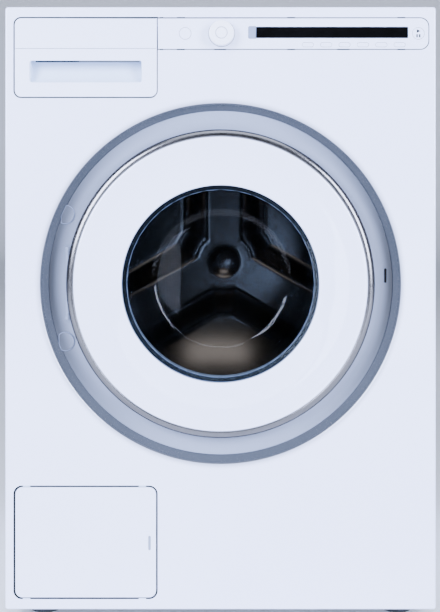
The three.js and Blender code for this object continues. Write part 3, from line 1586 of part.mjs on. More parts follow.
// Lifters: paddles with a waist, standing on the drum's wall in line with the star's arms
function drumLifter(index) {
  const angle = star.first_arm + (index * Math.PI * 2) / lifter.count;
  const seat = drum.radius - drum.wall - fit;
  const across = [-Math.sin(angle), Math.cos(angle)];
  const inward = [-Math.cos(angle), -Math.sin(angle)];
  const sections = Array.from({ length: lifter.sections }, (_, i) => {
    const t = i / (lifter.sections - 1);
    const swell = Math.sin(Math.PI * t);
    const width = 1 - lifter.waist_share * swell;
    const tall = lifter.rise * (lifter.end_share + (1 - lifter.end_share) * Math.sqrt(swell));
    const y = lifter.front + (lifter.rear - lifter.front) * t;
    const half = lifter.foot_half * width;
    const tip = lifter.tip_half * width;
    const flank = Array.from({ length: lifter.flank_steps + 1 }, (_, k) => {
      const s = k / lifter.flank_steps;
      return [half - (half - tip) * Math.sin((s * Math.PI) / 2), tall * (1 - Math.cos((s * Math.PI) / 2))];
    });
    const section = [...flank, ...flank.map(([w, h]) => [-w, h]).reverse()];
    return section.map(([w, h]) => {
      const base_r = Math.sqrt(seat ** 2 - w ** 2) * Math.cos(Math.PI / facets.large);
      const x = Math.cos(angle) * base_r + across[0] * w + inward[0] * h;
      const z = Math.sin(angle) * base_r + across[1] * w + inward[1] * h;
      return [x, y, axis_z + z];
    });
  });
  return lofted(sections);
}
for (let i = 0; i < lifter.count; i++) piece(drum_group, `lifter_${i + 1}`, drumLifter(i), looks.stainless);

// Three-armed spider behind the drum, cast with the shaft's hub, and the shaft
function drumSpider() {
  const low = drum.rear + fit;
  const shape = new THREE.Shape().absarc(0, axis_z, spider.hub_radius, 0, Math.PI * 2);
  const hub = frontPlate(shape, low, low + spider.hub_length, facets.small / 2);
  const arms = Array.from({ length: star.arms }, (_, i) => {
    const arm = new THREE.BoxGeometry(spider.arm_half * 2, spider.thickness, spider.arm_radius);
    const angle = star.first_arm + (i * Math.PI * 2) / star.arms;
    arm.translate(0, 0, spider.arm_radius / 2).rotateY(Math.PI / 2 - angle);
    return solid(arm.translate(0, low + spider.thickness / 2, axis_z));
  });
  const neck_y = tub.rear + tub.wall + bearing.length;
  const neck = drum.shaft_radius;
  const thin = drum.shaft_radius - drum.shaft_step;
  const shaft = turnedY(
    [[0, low], [neck, low], [neck, neck_y + fit * 2], [thin, neck_y + fit * 2], [thin, drive.shaft_end],
      [0, drive.shaft_end]],
    facets.small,
  );
  return join(hub, ...arms, shaft);
}
piece(drum_group, "drum_spider", drumSpider(), looks.cast_aluminium);

// Drum pulley: rim, web with round windows, hub
function drumPulley() {
  const { large_radius, rim_wall, web, hub_radius, hub_length, plane, belt_width } = drive;
  const half = belt_width / 2;
  const bore = drum.shaft_radius - drum.shaft_step + fit;
  const wheel = turnedY(
    [
      [bore, plane - hub_length / 2], [hub_radius, plane - hub_length / 2], [hub_radius, plane - web / 2],
      [large_radius - rim_wall, plane - web / 2], [large_radius - rim_wall, plane - half], [large_radius, plane - half],
      [large_radius, plane + half], [large_radius - rim_wall, plane + half], [large_radius - rim_wall, plane + web / 2],
      [hub_radius, plane + web / 2], [hub_radius, plane + hub_length / 2], [bore, plane + hub_length / 2],
      [bore, plane - hub_length / 2],
    ],
    facets.large,
  );
  const windows = Array.from({ length: drive.window_count }, (_, i) => {
    const angle = (i * Math.PI * 2) / drive.window_count;
    const x = drive.window_ring * Math.cos(angle);
    const z = axis_z + drive.window_ring * Math.sin(angle);
    return turnedY(rod(drive.window_radius, plane - web, plane + web), facets.small, x, z);
  });
  return cut(wheel, ...windows);
}
piece(drum_group, "drum_pulley", drumPulley(), looks.cast_aluminium);

// Motor pulley: a small grooved roller between two flanges
function motorPulley() {
  const { small_radius, small_flange, plane, belt_width, motor_z } = drive;
  const half = belt_width / 2 + fit;
  const low = plane - half - small_flange + fit * 2;
  return turnedY(
    [
      [0, low], [small_radius + small_flange, low], [small_radius + small_flange, plane - half],
      [small_radius, plane - half], [small_radius, plane + half], [small_radius + small_flange, plane + half],
      [small_radius + small_flange, plane + half + small_flange], [0, plane + half + small_flange],
    ],
    facets.small, 0, motor_z,
  );
}
piece(assembly(), "motor_pulley", motorPulley(), looks.galvanised);

export default washing_machine;
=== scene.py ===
"""Visual model of a front-loading washing machine.

Fine pieces and materials are built over the CAD part. The front faces -Y and Z is up. Helpers take points and sizes
in millimetres and make their meshes in metres.
"""

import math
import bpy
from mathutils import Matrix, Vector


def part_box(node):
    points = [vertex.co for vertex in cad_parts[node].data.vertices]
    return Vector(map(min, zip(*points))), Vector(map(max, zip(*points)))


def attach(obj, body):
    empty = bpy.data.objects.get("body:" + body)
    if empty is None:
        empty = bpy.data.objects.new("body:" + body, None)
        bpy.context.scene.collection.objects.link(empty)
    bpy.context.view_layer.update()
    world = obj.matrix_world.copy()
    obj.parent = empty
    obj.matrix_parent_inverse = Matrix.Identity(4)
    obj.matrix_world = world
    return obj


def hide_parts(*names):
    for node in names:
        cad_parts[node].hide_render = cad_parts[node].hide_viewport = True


bl_info = {
    "name": "Washing Machine",
    "version": (1, 0, 0),
    "blender": (4, 5, 0),
    "location": "3D View > Sidebar > Washer",
    "description": "Builds the looks of a front-loading washing machine",
    "category": "Add Mesh",
}

import bmesh
import bpy
from bpy.props import FloatProperty, FloatVectorProperty, IntProperty, PointerProperty
from mathutils import Matrix, Vector

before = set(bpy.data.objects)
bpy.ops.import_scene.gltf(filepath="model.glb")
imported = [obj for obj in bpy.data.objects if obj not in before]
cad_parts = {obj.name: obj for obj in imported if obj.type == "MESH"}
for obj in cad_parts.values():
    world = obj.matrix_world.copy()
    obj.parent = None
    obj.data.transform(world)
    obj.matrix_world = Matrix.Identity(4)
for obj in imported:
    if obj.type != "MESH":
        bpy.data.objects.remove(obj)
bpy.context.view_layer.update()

MM = 0.001
X, Y, Z = 0, 1, 2


def low(node, axis):
    """Lowest coordinate of a CAD node along one axis, in millimetres."""
    return round(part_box(node)[0][axis] / MM, 3)


def high(node, axis):
    """Highest coordinate of a CAD node along one axis, in millimetres."""
    return round(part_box(node)[1][axis] / MM, 3)


def face_box(node, grown=0.0):
    """Left, right, bottom and top of a CAD node seen from the front, grown to all sides."""
    return low(node, X) - grown, high(node, X) + grown, low(node, Z) - grown, high(node, Z) + grown


def middle(node):
    """The x and the z of a CAD node's middle."""
    return tuple((low(node, axis) + high(node, axis)) / 2 for axis in (X, Z))


def half_height(node):
    """Half of a CAD node's height, which is a round node's radius."""
    return (high(node, Z) - low(node, Z)) / 2


FRONT = low("front_panel", Y)
SIDE = high("front_panel", X)
BASE = low("front_panel", Z)
TOP = high("front_panel", Z)
REAR = high("cabinet_wrap", Y)
AXIS_Z = middle("door_trim")[1]
DOOR_FRONT = low("door_ring", Y)
SURROUND = low("door_surround", Y)


# Materials

LOOKS = {}


def linear(hexcode):
    """A linear RGBA colour from an sRGB hex code."""
    parts = [int(hexcode[i : i + 2], 16) / 255 for i in (1, 3, 5)]
    return tuple(c / 12.92 if c <= 0.04045 else ((c + 0.055) / 1.055) ** 2.4 for c in parts) + (1.0,)


def add_node(tree, kind, inputs=None, **settings):
    """Adds one node. Inputs are keyed by name or number and hold a value or another node's output."""
    made = tree.nodes.new(kind)
    for name, value in settings.items():
        setattr(made, name, value)
    for name, value in (inputs or {}).items():
        if isinstance(value, bpy.types.NodeSocket):
            tree.links.new(value, made.inputs[name])
        else:
            made.inputs[name].default_value = value
    return made


def result(tree, kind, inputs=None, **settings):
    """The first output of one new node."""
    return add_node(tree, kind, inputs, **settings).outputs[0]


def new_look(name):
    """An empty node material: its tree, its Principled shader, its output and the object's coordinates."""
    made = bpy.data.materials.new(name)
    made.use_nodes = True
    tree = made.node_tree
    tree.nodes.clear()
    shader = add_node(tree, "ShaderNodeBsdfPrincipled")
    output = add_node(tree, "ShaderNodeOutputMaterial", {"Surface": shader.outputs["BSDF"]})
    place = add_node(tree, "ShaderNodeTexCoord").outputs["Object"]
    LOOKS[name] = made
    return tree, shader, output, place


def noise(tree, place, size, detail=3.0, stretch=(1, 1, 1)):
    """Noise with lumps of that size in millimetres, drawn out by stretch along each axis."""
    scaled = result(tree, "ShaderNodeMapping", {"Vector": place, "Scale": tuple(1 / s for s in stretch)})
    values = {"Vector": scaled, "Scale": 1 / (size * MM), "Detail": detail, "Roughness": 0.5}
    return result(tree, "ShaderNodeTexNoise", values)


def spread(tree, value, start, end):
    """Noise's usual range mapped onto start to end."""
    ranges = {"Value": value, "From Min": 0.3, "From Max": 0.7, "To Min": start, "To Max": end}
    return result(tree, "ShaderNodeMapRange", ranges)


def blended(tree, factor, first, second):
    """A colour between two colours, each a hex code or a socket."""
    ends = [c if isinstance(c, bpy.types.NodeSocket) else linear(c) for c in (first, second)]
    return add_node(tree, "ShaderNodeMix", {0: factor, 6: ends[0], 7: ends[1]}, data_type="RGBA").outputs[2]


def surface_look(name, colours, rough, cloud, grain, bump, constants=None, metallic=0.0, stretch=(1, 1, 1)):
    """Paint, plastic, rubber or metal: a faint drift between two colours, an uneven gloss and a fine grain.

    cloud and grain are the sizes of the drift and the grain, and bump is the grain's height, in millimetres.
    """
    tree, shader, _, place = new_look(name)
    drift = spread(tree, noise(tree, place, cloud), 0, 1)
    tree.links.new(blended(tree, drift, *colours), shader.inputs["Base Color"])
    fine = noise(tree, place, grain, 2.0, stretch)
    tree.links.new(spread(tree, fine, *rough), shader.inputs["Roughness"])
    raised = result(tree, "ShaderNodeBump", {"Height": fine, "Distance": bump * MM})
    tree.links.new(raised, shader.inputs["Normal"])
    shader.inputs["Metallic"].default_value = metallic
    for socket, value in (constants or {}).items():
        shader.inputs[socket].default_value = value
    return tree, shader, place


def tinted(tree, shader, tint):
    """Multiplies the base colour that a look already has by a colour or by a socket's value."""
    own = shader.inputs["Base Color"].links[0].from_socket
    mix = add_node(tree, "ShaderNodeMix", {0: 1.0, 6: own, 7: tint}, data_type="RGBA", blend_type="MULTIPLY")
    tree.links.new(mix.outputs[2], shader.inputs["Base Color"])


def math_node(tree, operation, first, second=0.0):
    """The result of one operation on one or two values or sockets."""
    return result(tree, "ShaderNodeMath", {0: first, 1: second}, operation=operation)


def painted_dish_shade(tree, place, start, end, first, last, sideways=False):
    """Painted shade of the dish: a value that eases from first to last between two distances from its axis, in mm.

    sideways holds it to the left and the right of the axis.
    """
    parts = add_node(tree, "ShaderNodeSeparateXYZ", {"Vector": place}).outputs
    height = math_node(tree, "SUBTRACT", parts["Z"], AXIS_Z * MM)
    squares = [math_node(tree, "POWER", value, 2.0) for value in (parts["X"], height)]
    total = math_node(tree, "ADD", *squares)
    distance = math_node(tree, "SQRT", total)
    ranges = {"Value": distance, "From Min": start * MM, "From Max": end * MM, "To Min": first, "To Max": last}
    eased = result(tree, "ShaderNodeMapRange", ranges, interpolation_type="SMOOTHSTEP")
    if not sideways:
        return eased
    level = math_node(tree, "DIVIDE", squares[0], total)
    drop = math_node(tree, "MULTIPLY", math_node(tree, "SUBTRACT", 1.0, eased), level)
    return math_node(tree, "SUBTRACT", 1.0, drop)


def glass_look(name, hexcode, ior, see_through):
    """Thin coated glass: it mirrors little, and what is behind it shows through almost unbent."""
    mirrored, bent, gloss = 0.006, 0.015, 0.02
    tree, shader, output, place = new_look(name)
    shader.inputs["Base Color"].default_value = linear(hexcode)
    shader.inputs["IOR"].default_value = ior
    shader.inputs["Transmission Weight"].default_value = 1.0
    tree.links.new(spread(tree, noise(tree, place, 45), 0.0, gloss), shader.inputs["Roughness"])
    clear = result(tree, "ShaderNodeBsdfTransparent", {"Color": linear(see_through)})
    mirror = result(tree, "ShaderNodeBsdfGlossy", {"Color": linear("#FFFFFF"), "Roughness": gloss})
    facing = math_node(tree, "SUBTRACT", 1.0, add_node(tree, "ShaderNodeNewGeometry").outputs["Backfacing"])
    share = math_node(tree, "MULTIPLY", facing, mirrored)
    shadow = add_node(tree, "ShaderNodeLightPath").outputs["Is Shadow Ray"]
    # A little of a mirror, then a little of real glass, and clear again for the light on its way to what is behind
    mix = clear
    for factor, other in ((share, mirror), (bent, shader.outputs["BSDF"]), (shadow, clear)):
        mix = result(tree, "ShaderNodeMixShader", {0: factor, 1: mix, 2: other})
    tree.links.new(mix, output.inputs["Surface"])


ABS = {"IOR": 1.54}
# Painted shadows in gaps, notches, slots and holes, and print: next to no gloss comes back out of them.
DULL = {"IOR": 1.5, "Specular IOR Level": 0.05}


def make_looks(settings):
    """Every material of the machine, each named by what it is made of."""
    # White enamel. On the front sheet, shade is painted into it where the sheet rolls into the dish.
    for name in ("enamelled_steel", "front_enamel_with_painted_shade"):
        tree, shader, place = surface_look(
            name, ("#DCE3FD", "#D7DEFA"), (0.16, 0.24), 300, 1.6, 0.004,
            {"Coat Weight": 0.5, "Coat Roughness": 0.06, "IOR": 1.5},
        )
        # The user's colour multiplies the enamel's own drift.
        tinted(tree, shader, (*settings.body_colour, 1.0))
    # Painted shade of the lip: the front sheet's enamel darkens from 258 mm in to 246 mm from the dish's axis.
    tinted(tree, shader, painted_dish_shade(tree, place, 246, 258, 0.4, 1.0))
    # The same enamel, darker and blue-grey: painted shade of the dish's wall
    surface_look(
        "dish_enamel", ("#454951", "#40444C"), (0.22, 0.28), 120, 1.6, 0.0008,
        {"Coat Weight": 0.4, "Coat Roughness": 0.08, "IOR": 1.5},
    )
    # Moulded plastic of the fascia, the drawer and the flap, with a fine spark texture
    surface_look("white_abs", ("#DCE3FC", "#D7DFF9"), (0.28, 0.38), 120, 0.5, 0.006, ABS)
    # Polished white plastic of the door's ring
    surface_look(
        "gloss_abs", ("#DCE3FD", "#D7DFFA"), (0.05, 0.09), 160, 3.0, 0.002,
        {**ABS, "Coat Weight": 0.6, "Coat Roughness": 0.03},
    )
    # Grey-blue plastic of the dish's floor, with painted shade towards the dish's wall on the left and the right
    tree, shader, place = surface_look("surround_abs", ("#828BA0", "#7C859A"), (0.3, 0.4), 140, 0.6, 0.006, ABS)
    tinted(tree, shader, painted_dish_shade(tree, place, 214, 236, 1.0, 0.07, sideways=True))
    # Painted steel of the hinge, in the surround's tone
    surface_look("hinge_enamel", ("#7A8398", "#747D92"), (0.25, 0.35), 60, 1.6, 0.004, {"IOR": 1.5})
    # Moulded plastic of the drawer's pocket and tray and of the tabs at the flap
    surface_look("recess_abs", ("#C6D5EE", "#BFD0EA"), (0.34, 0.44), 60, 0.6, 0.006, ABS)
    # Smooth moulded plastic of the programme knob and its button
    surface_look("knob_abs", ("#E8ECFC", "#E3E8FA"), (0.2, 0.27), 30, 0.6, 0.003, ABS)
    # Grey-blue moulded plastic of the block beside the display, also the painted shadow outline round the hinge covers
    surface_look("block_abs", ("#76829E", "#707C98"), (0.3, 0.4), 20, 0.6, 0.006, ABS)
    # Moulded housings behind the panels: the dispenser, the pump and the valve
    surface_look("grey_polypropylene", ("#8C9197", "#83888E"), (0.42, 0.55), 60, 0.9, 0.02, {"IOR": 1.49})
    # Tough black plastic of the feet, the struts and the door's lock
    surface_look("black_nylon", ("#2B2E32", "#24272A"), (0.4, 0.55), 40, 0.8, 0.015, {"IOR": 1.53})
    # Chromed plastic trim: a thin, satin plating
    surface_look("chrome_plating", ("#6E6D6F", "#676668"), (0.2, 0.26), 90, 6.0, 0.003, {"IOR": 2.9}, metallic=1.0)
    # Stainless steel of the drum's wall and its lifters, brushed round the drum
    surface_look(
        "brushed_stainless", ("#9A9A9A", "#8E8E8F"), (0.22, 0.27), 70, 0.9, 0.00003,
        {"IOR": 2.8, "Anisotropic": 0.35}, metallic=1.0, stretch=(1, 14, 1),
    )
    # Pressed stainless steel of the drum's star and of the tub, smoother, and darker as painted shade of the dim drum
    surface_look(
        "pressed_stainless", ("#5A5A5C", "#515153"), (0.18, 0.22), 55, 0.9, 0.00002, {"IOR": 2.8}, metallic=1.0,
        stretch=(9, 1, 1),
    )
    # Matt grey rubber of the door's seal
    surface_look(
        "epdm_rubber", ("#54585C", "#4B4F53"), (0.62, 0.78), 50, 1.1, 0.03, {"IOR": 1.52, "Sheen Weight": 0.15}
    )
    # The belt's darker rubber, with a woven back
    surface_look("belt_rubber", ("#232425", "#1C1D1E"), (0.6, 0.8), 20, 0.7, 0.05, stretch=(1, 1, 3))
    # Sand-cast aluminium of the motor's housing, the drum's spider and its pulley
    surface_look(
        "cast_aluminium", ("#AEB0B1", "#9FA1A3"), (0.38, 0.56), 30, 1.3, 0.05, {"IOR": 1.4}, metallic=1.0
    )
    # Rough cast concrete of the counterweight
    surface_look("concrete", ("#98958E", "#838079"), (0.8, 0.95), 14, 1.8, 0.5, {"IOR": 1.55})
    zinc_look()
    display_look()
    # Near black painted shadow inside the drum's holes and the slots
    surface_look("dark_hole", ("#0B0B0C", "#080809"), (0.6, 0.8), 20, 2.0, 0.01, DULL)
    # Near black painted shadow in the gaps and round the knob
    surface_look("gap_foam", ("#050506", "#040405"), (0.8, 0.95), 12, 0.8, 0.05, DULL)
    # Painted shade: dark slabs in the fascia's clip notches and the drawer's crease
    surface_look("notch_shade", ("#14161A", "#111317"), (0.5, 0.6), 12, 0.8, 0.01, DULL)
    # Black ceramic print on the back of the door's glass
    surface_look("black_enamel", ("#15191E", "#101419"), (0.18, 0.28), 40, 2.0, 0.002, {"IOR": 1.5})
    # Black screen print of the start button's sign
    surface_look("screen_print", ("#050506", "#040405"), (0.4, 0.5), 10, 0.3, 0.002, DULL)
    glass_look("door_glass", "#EEF3F4", 1.52, "#E3E8EC")


def zinc_look():
    """Hot-dipped steel with its spangle: crystals of slightly different greys."""
    tree, shader, _, place = new_look("galvanised_steel")
    cells = add_node(tree, "ShaderNodeTexVoronoi", {"Vector": place, "Scale": 1 / (9 * MM)})
    grey = result(tree, "ShaderNodeSeparateColor", {"Color": cells.outputs["Color"]})
    tree.links.new(blended(tree, grey, "#A9ADB0", "#8F9396"), shader.inputs["Base Color"])
    rough = result(tree, "ShaderNodeMapRange", {"Value": grey, "To Min": 0.32, "To Max": 0.5})
    tree.links.new(rough, shader.inputs["Roughness"])
    raised = result(tree, "ShaderNodeBump", {"Height": noise(tree, place, 2.5), "Distance": 0.02 * MM})
    tree.links.new(raised, shader.inputs["Normal"])
    shader.inputs["Metallic"].default_value = 1.0


def display_look():
    """Black window over a dark display: deep gloss with faint dust in its depth."""
    tree, shader, _, place = new_look("display_acrylic")
    dust = spread(tree, noise(tree, place, 18), 0, 1)
    tree.links.new(blended(tree, dust, "#040404", "#060607"), shader.inputs["Base Color"])
    tree.links.new(spread(tree, noise(tree, place, 4), 0.05, 0.1), shader.inputs["Roughness"])
    shader.inputs["IOR"].default_value = 1.49
    # The pane's face has an antireflective coat.
    shader.inputs["Specular IOR Level"].default_value = 0.15


# Outlines in the front plane, as (x, z) points running anticlockwise seen from the front


def rounded(left, right, bottom, top, corners, steps=10):
    """A rectangle with rounded corners, given one radius or four from the lower left, anticlockwise."""
    radii = corners if isinstance(corners, (list, tuple)) else [corners] * 4
    places = [(left, bottom, 1, 1, 180), (right, bottom, -1, 1, 270), (right, top, -1, -1, 0), (left, top, 1, -1, 90)]
    points = []
    for (x, z, to_x, to_z, start), radius in zip(places, radii):
        r = max(radius, 0.05)
        for i in range(steps + 1):
            angle = math.radians(start + 90 * i / steps)
            points.append((x + to_x * r + r * math.cos(angle), z + to_z * r + r * math.sin(angle)))
    return points


def circle(x, z, radius, steps=96):
    """A circle's outline."""
    angles = [math.tau * i / steps for i in range(steps)]
    return [(x + radius * math.cos(a), z + radius * math.sin(a)) for a in angles]


def grow(points, distance):
    """The outline moved outward, or inward where distance is negative."""
    moved = []
    for i, here in enumerate(points):
        before, after = Vector(points[i - 1]), Vector(points[(i + 1) % len(points)])
        here = Vector(here)
        first, second = (here - before).normalized(), (after - here).normalized()
        first, second = Vector((first.y, -first.x)), Vector((second.y, -second.x))
        out = here + (first + second) * (distance / (1 + first.dot(second)))
        moved.append((out.x, out.y))
    return moved


def arc(centre_r, centre_y, size_r, size_y, start, end, steps):
    """Points of a profile on an ellipse's arc, between two angles in degrees."""
    angles = [math.radians(start + (end - start) * i / steps) for i in range(steps + 1)]
    return [(centre_r + size_r * math.cos(a), centre_y + size_y * math.sin(a)) for a in angles]


# Meshes


def ring(mesh, outline, y):
    """A closed row of vertices along an outline at one depth."""
    return [mesh.verts.new((x * MM, y * MM, z * MM)) for x, z in outline]


def bridge(mesh, first, second):
    """Faces between two closed rows with as many vertices each."""
    count = len(first)
    for i in range(count):
        n = (i + 1) % count
        mesh.faces.new((first[i], first[n], second[n], second[i]))


def bridges(mesh, rows):
    """Faces between each closed row and the next."""
    for first, second in zip(rows, rows[1:]):
        bridge(mesh, first, second)


def fill(mesh, rows):
    """A flat face inside the first row and outside the others."""
    edges = []
    for row in rows:
        for i, here in enumerate(row):
            after = row[(i + 1) % len(row)]
            edges.append(mesh.edges.get((here, after)) or mesh.edges.new((here, after)))
    bmesh.ops.triangle_fill(mesh, edges=edges, use_beauty=True)


def make_object(name, mesh, look, body=None, nodes=(), sharp=32, sheet=0.0, weighted=True):
    """Turns a bmesh into a named object that rides on a body and stands for some CAD nodes.

    sharp is the angle in degrees over which an edge stays hard, and sheet the thickness given to an open surface.
    """
    bmesh.ops.recalc_face_normals(mesh, faces=mesh.faces[:])
    data = bpy.data.meshes.new(name)
    mesh.to_mesh(data)
    mesh.free()
    made = bpy.data.objects.new(name, data)
    bpy.context.scene.collection.objects.link(made)
    for one in look if isinstance(look, (list, tuple)) else [look]:
        data.materials.append(LOOKS[one])
    data.shade_smooth()
    data.set_sharp_from_angle(angle=math.radians(sharp))
    if sheet:
        thick = made.modifiers.new("sheet", "SOLIDIFY")
        thick.thickness = sheet * MM
        thick.offset = -1
        thick.use_even_offset = True
    if weighted:
        made.modifiers.new("normals", "WEIGHTED_NORMAL").keep_sharp = True
    return settle(made, body, nodes)


def settle(made, body, nodes=()):
    """Seats a piece on its body, and hides the CAD nodes that it stands for."""
    if body:
        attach(made, body)
    if nodes:
        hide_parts(*nodes)
    return made


def rounding(edge, steps=5):
    """Steps of a rounded edge, as (how far in from the outline, how far back from the face)."""
    angles = [math.radians(90 * i / steps) for i in range(steps + 1)]
    return [(edge * (1 - math.sin(a)), edge * (1 - math.cos(a))) for a in angles]


def slab(mesh, line, front, back):
    """A solid with an outline's straight sides between two depths."""
    rows = [ring(mesh, line, y) for y in (front, back)]
    bridge(mesh, *rows)
    for row in rows:
        fill(mesh, [row])


def plate_mesh(outline, holes, front, depth, edge):
    """A flat plate with a rounded front edge, and holes whose edges are rounded too."""
    mesh = bmesh.new()
    fronts, backs = [], []
    for number, line in enumerate([outline, *holes]):
        way = -1 if number == 0 else 1
        rows = [ring(mesh, grow(line, way * inset), front + back) for inset, back in rounding(edge)]
        rows.append(ring(mesh, line, front + depth))
        bridges(mesh, rows)
        fronts.append(rows[0])
        backs.append(rows[-1])
    fill(mesh, fronts)
    fill(mesh, backs)
    return mesh


def gap_ring(name, outer, inner, front, depth, edge=0.05, look="gap_foam"):
    """A flat ring on the cabinet between two outlines: the painted shadow of the gap."""
    mesh = plate_mesh(outer, [inner], front, depth, edge)
    make_object(name, mesh, look, "cabinet", weighted=False)


def lathe_mesh(profile, segments, x=0.0, z=AXIS_Z):
    """A profile of (radius, y) points turned round a line along Y. A closed profile ends where it starts."""
    mesh = bmesh.new()
    closed = profile[0] == profile[-1]
    rows = []
    for radius, y in profile[:-1] if closed else profile:
        if radius < 1e-6:
            rows.append([mesh.verts.new((x * MM, y * MM, z * MM))])
        else:
            rows.append(ring(mesh, circle(x, z, radius, segments), y))
    pairs = list(zip(rows, rows[1:])) + ([(rows[-1], rows[0])] if closed else [])
    for first, second in pairs:
        if len(first) == len(second) == 1:
            continue
        if len(first) == 1 or len(second) == 1:
            tip, row = (first[0], second) if len(first) == 1 else (second[0], first)
            for i in range(segments):
                mesh.faces.new((tip, row[i], row[(i + 1) % segments]))
        else:
            bridge(mesh, first, second)
    return mesh


def softened(node, look, body, width=0.8, sharp=38):
    """A CAD node's mesh with its hard edges rounded a little and its facets shaded smooth."""
    mesh = bmesh.new()
    mesh.from_mesh(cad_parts[node].data)
    bmesh.ops.remove_doubles(mesh, verts=mesh.verts[:], dist=1e-6)
    bmesh.ops.dissolve_limit(mesh, angle_limit=math.radians(0.5), verts=mesh.verts[:], edges=mesh.edges[:])
    made = make_object(node + "_soft", mesh, look, sharp=sharp, weighted=False)
    bevel = made.modifiers.new("edges", "BEVEL")
    bevel.width = width * MM
    bevel.segments = 2
    bevel.limit_method = "ANGLE"
    bevel.angle_limit = math.radians(sharp)
    made.modifiers.new("normals", "WEIGHTED_NORMAL").keep_sharp = True
    return settle(made, body, [node])


def bisected(mesh, z, half, depth):
    """Presses a crease across a plate at one height, half as wide to each side and depth deep."""
    for level in (z - half, z, z + half):
        parts = mesh.verts[:] + mesh.edges[:] + mesh.faces[:]
        bmesh.ops.bisect_plane(mesh, geom=parts, plane_co=(0, 0, level * MM), plane_no=(0, 0, 1), dist=1e-7)
    for vertex in mesh.verts:
        if abs(vertex.co.z - z * MM) < 1e-6 and vertex.co.y < (FRONT + 1) * MM:
            vertex.co.y += depth * MM


# Geometry Nodes


SOCKETS = {float: "NodeSocketFloat", int: "NodeSocketInt", tuple: "NodeSocketVector"}


def node_group(name, sizes):
    """A node group with a geometry and a material input, and inputs for its sizes, given as {name: default}."""
    tree = bpy.data.node_groups.new(name, "GeometryNodeTree")
    for way in ("INPUT", "OUTPUT"):
        tree.interface.new_socket("Geometry", in_out=way, socket_type="NodeSocketGeometry")
    for label, default in sizes.items():
        socket = tree.interface.new_socket(label, in_out="INPUT", socket_type=SOCKETS[type(default)])
        socket.default_value = default
    tree.interface.new_socket("Material", in_out="INPUT", socket_type="NodeSocketMaterial")
    return tree, add_node(tree, "NodeGroupInput").outputs


def end_group(tree, given, geometry):
    """Ends a node group with real geometry and its material, and gives the group back."""
    real = result(tree, "GeometryNodeRealizeInstances", {"Geometry": geometry})
    painted = result(tree, "GeometryNodeSetMaterial", {"Geometry": real, "Material": given["Material"]})
    add_node(tree, "NodeGroupOutput", {"Geometry": painted})
    return tree


def laid_down(tree, given, geometry):
    """What stands round Z, laid down round Y at the group's centre."""
    values = {"Geometry": geometry, "Translation": given["Centre"], "Rotation": (math.pi / 2, 0, 0)}
    return result(tree, "GeometryNodeTransform", values)


def grown_by_nodes(name, tree, values, look, body, points=(), nodes=()):
    """Runs a node group over some points and keeps its result as a plain mesh that rides on a body."""
    data = bpy.data.meshes.new(name)
    data.from_pydata([tuple(c * MM for c in p) for p in points], [], [])
    source = bpy.data.objects.new(name + "_source", data)
    bpy.context.scene.collection.objects.link(source)
    modifier = source.modifiers.new("nodes", "NODES")
    modifier.node_group = tree
    values = {**values, "Material": LOOKS[look]}
    for item in tree.interface.items_tree:
        if item.item_type == "SOCKET" and item.in_out == "INPUT" and item.name in values:
            modifier[item.identifier] = values[item.name]
    bpy.context.view_layer.update()
    graph = bpy.context.evaluated_depsgraph_get()
    baked = bpy.data.meshes.new_from_object(source.evaluated_get(graph), depsgraph=graph)
    baked.name = name
    source.modifiers.remove(modifier)
    bpy.data.objects.remove(source)
    made = bpy.data.objects.new(name, baked)
    bpy.context.scene.collection.objects.link(made)
    return settle(made, body, nodes)


def perforation_group():
    """Flat discs for holes in staggered rows round a drum, facing its axis, which runs along Y."""
    tree, given = node_group(
        "perforations",
        {"Radius": 0.244, "Length": 0.27, "Hole Radius": 0.0016, "Columns": 80, "Rows": 14, "Centre": (0, 0, 0)},
    )
    sizes = {"Vertices": "Columns", "Side Segments": "Rows", "Radius": "Radius", "Depth": "Length"}
    values = {label: given[source] for label, source in sizes.items()}
    wall = result(tree, "GeometryNodeMeshCylinder", values, fill_type="NONE")
    # Every second row is turned by half a column.
    index = result(tree, "GeometryNodeInputIndex")
    row = math_node(tree, "FLOOR", math_node(tree, "DIVIDE", index, given["Columns"]))
    half_turn = math_node(tree, "MULTIPLY", math_node(tree, "MODULO", row, 2.0), math.pi)
    angle = math_node(tree, "DIVIDE", half_turn, given["Columns"])
    place = result(tree, "GeometryNodeInputPosition")
    turned = result(tree, "ShaderNodeVectorRotate", {"Vector": place, "Angle": angle}, rotation_type="Z_AXIS")
    staggered = result(tree, "GeometryNodeSetPosition", {"Geometry": wall, "Position": turned})
    inward = result(tree, "ShaderNodeVectorMath", {0: turned, 1: (-1, -1, 0)}, operation="MULTIPLY")
    facing = result(tree, "FunctionNodeAlignRotationToVector", {"Vector": inward}, axis="Z")
    hole = {"Vertices": 10, "Radius": given["Hole Radius"]}
    disc = result(tree, "GeometryNodeMeshCircle", hole, fill_type="NGON")
    values = {"Points": staggered, "Instance": disc, "Rotation": facing}
    holes = result(tree, "GeometryNodeInstanceOnPoints", values)
    return end_group(tree, given, laid_down(tree, given, holes))


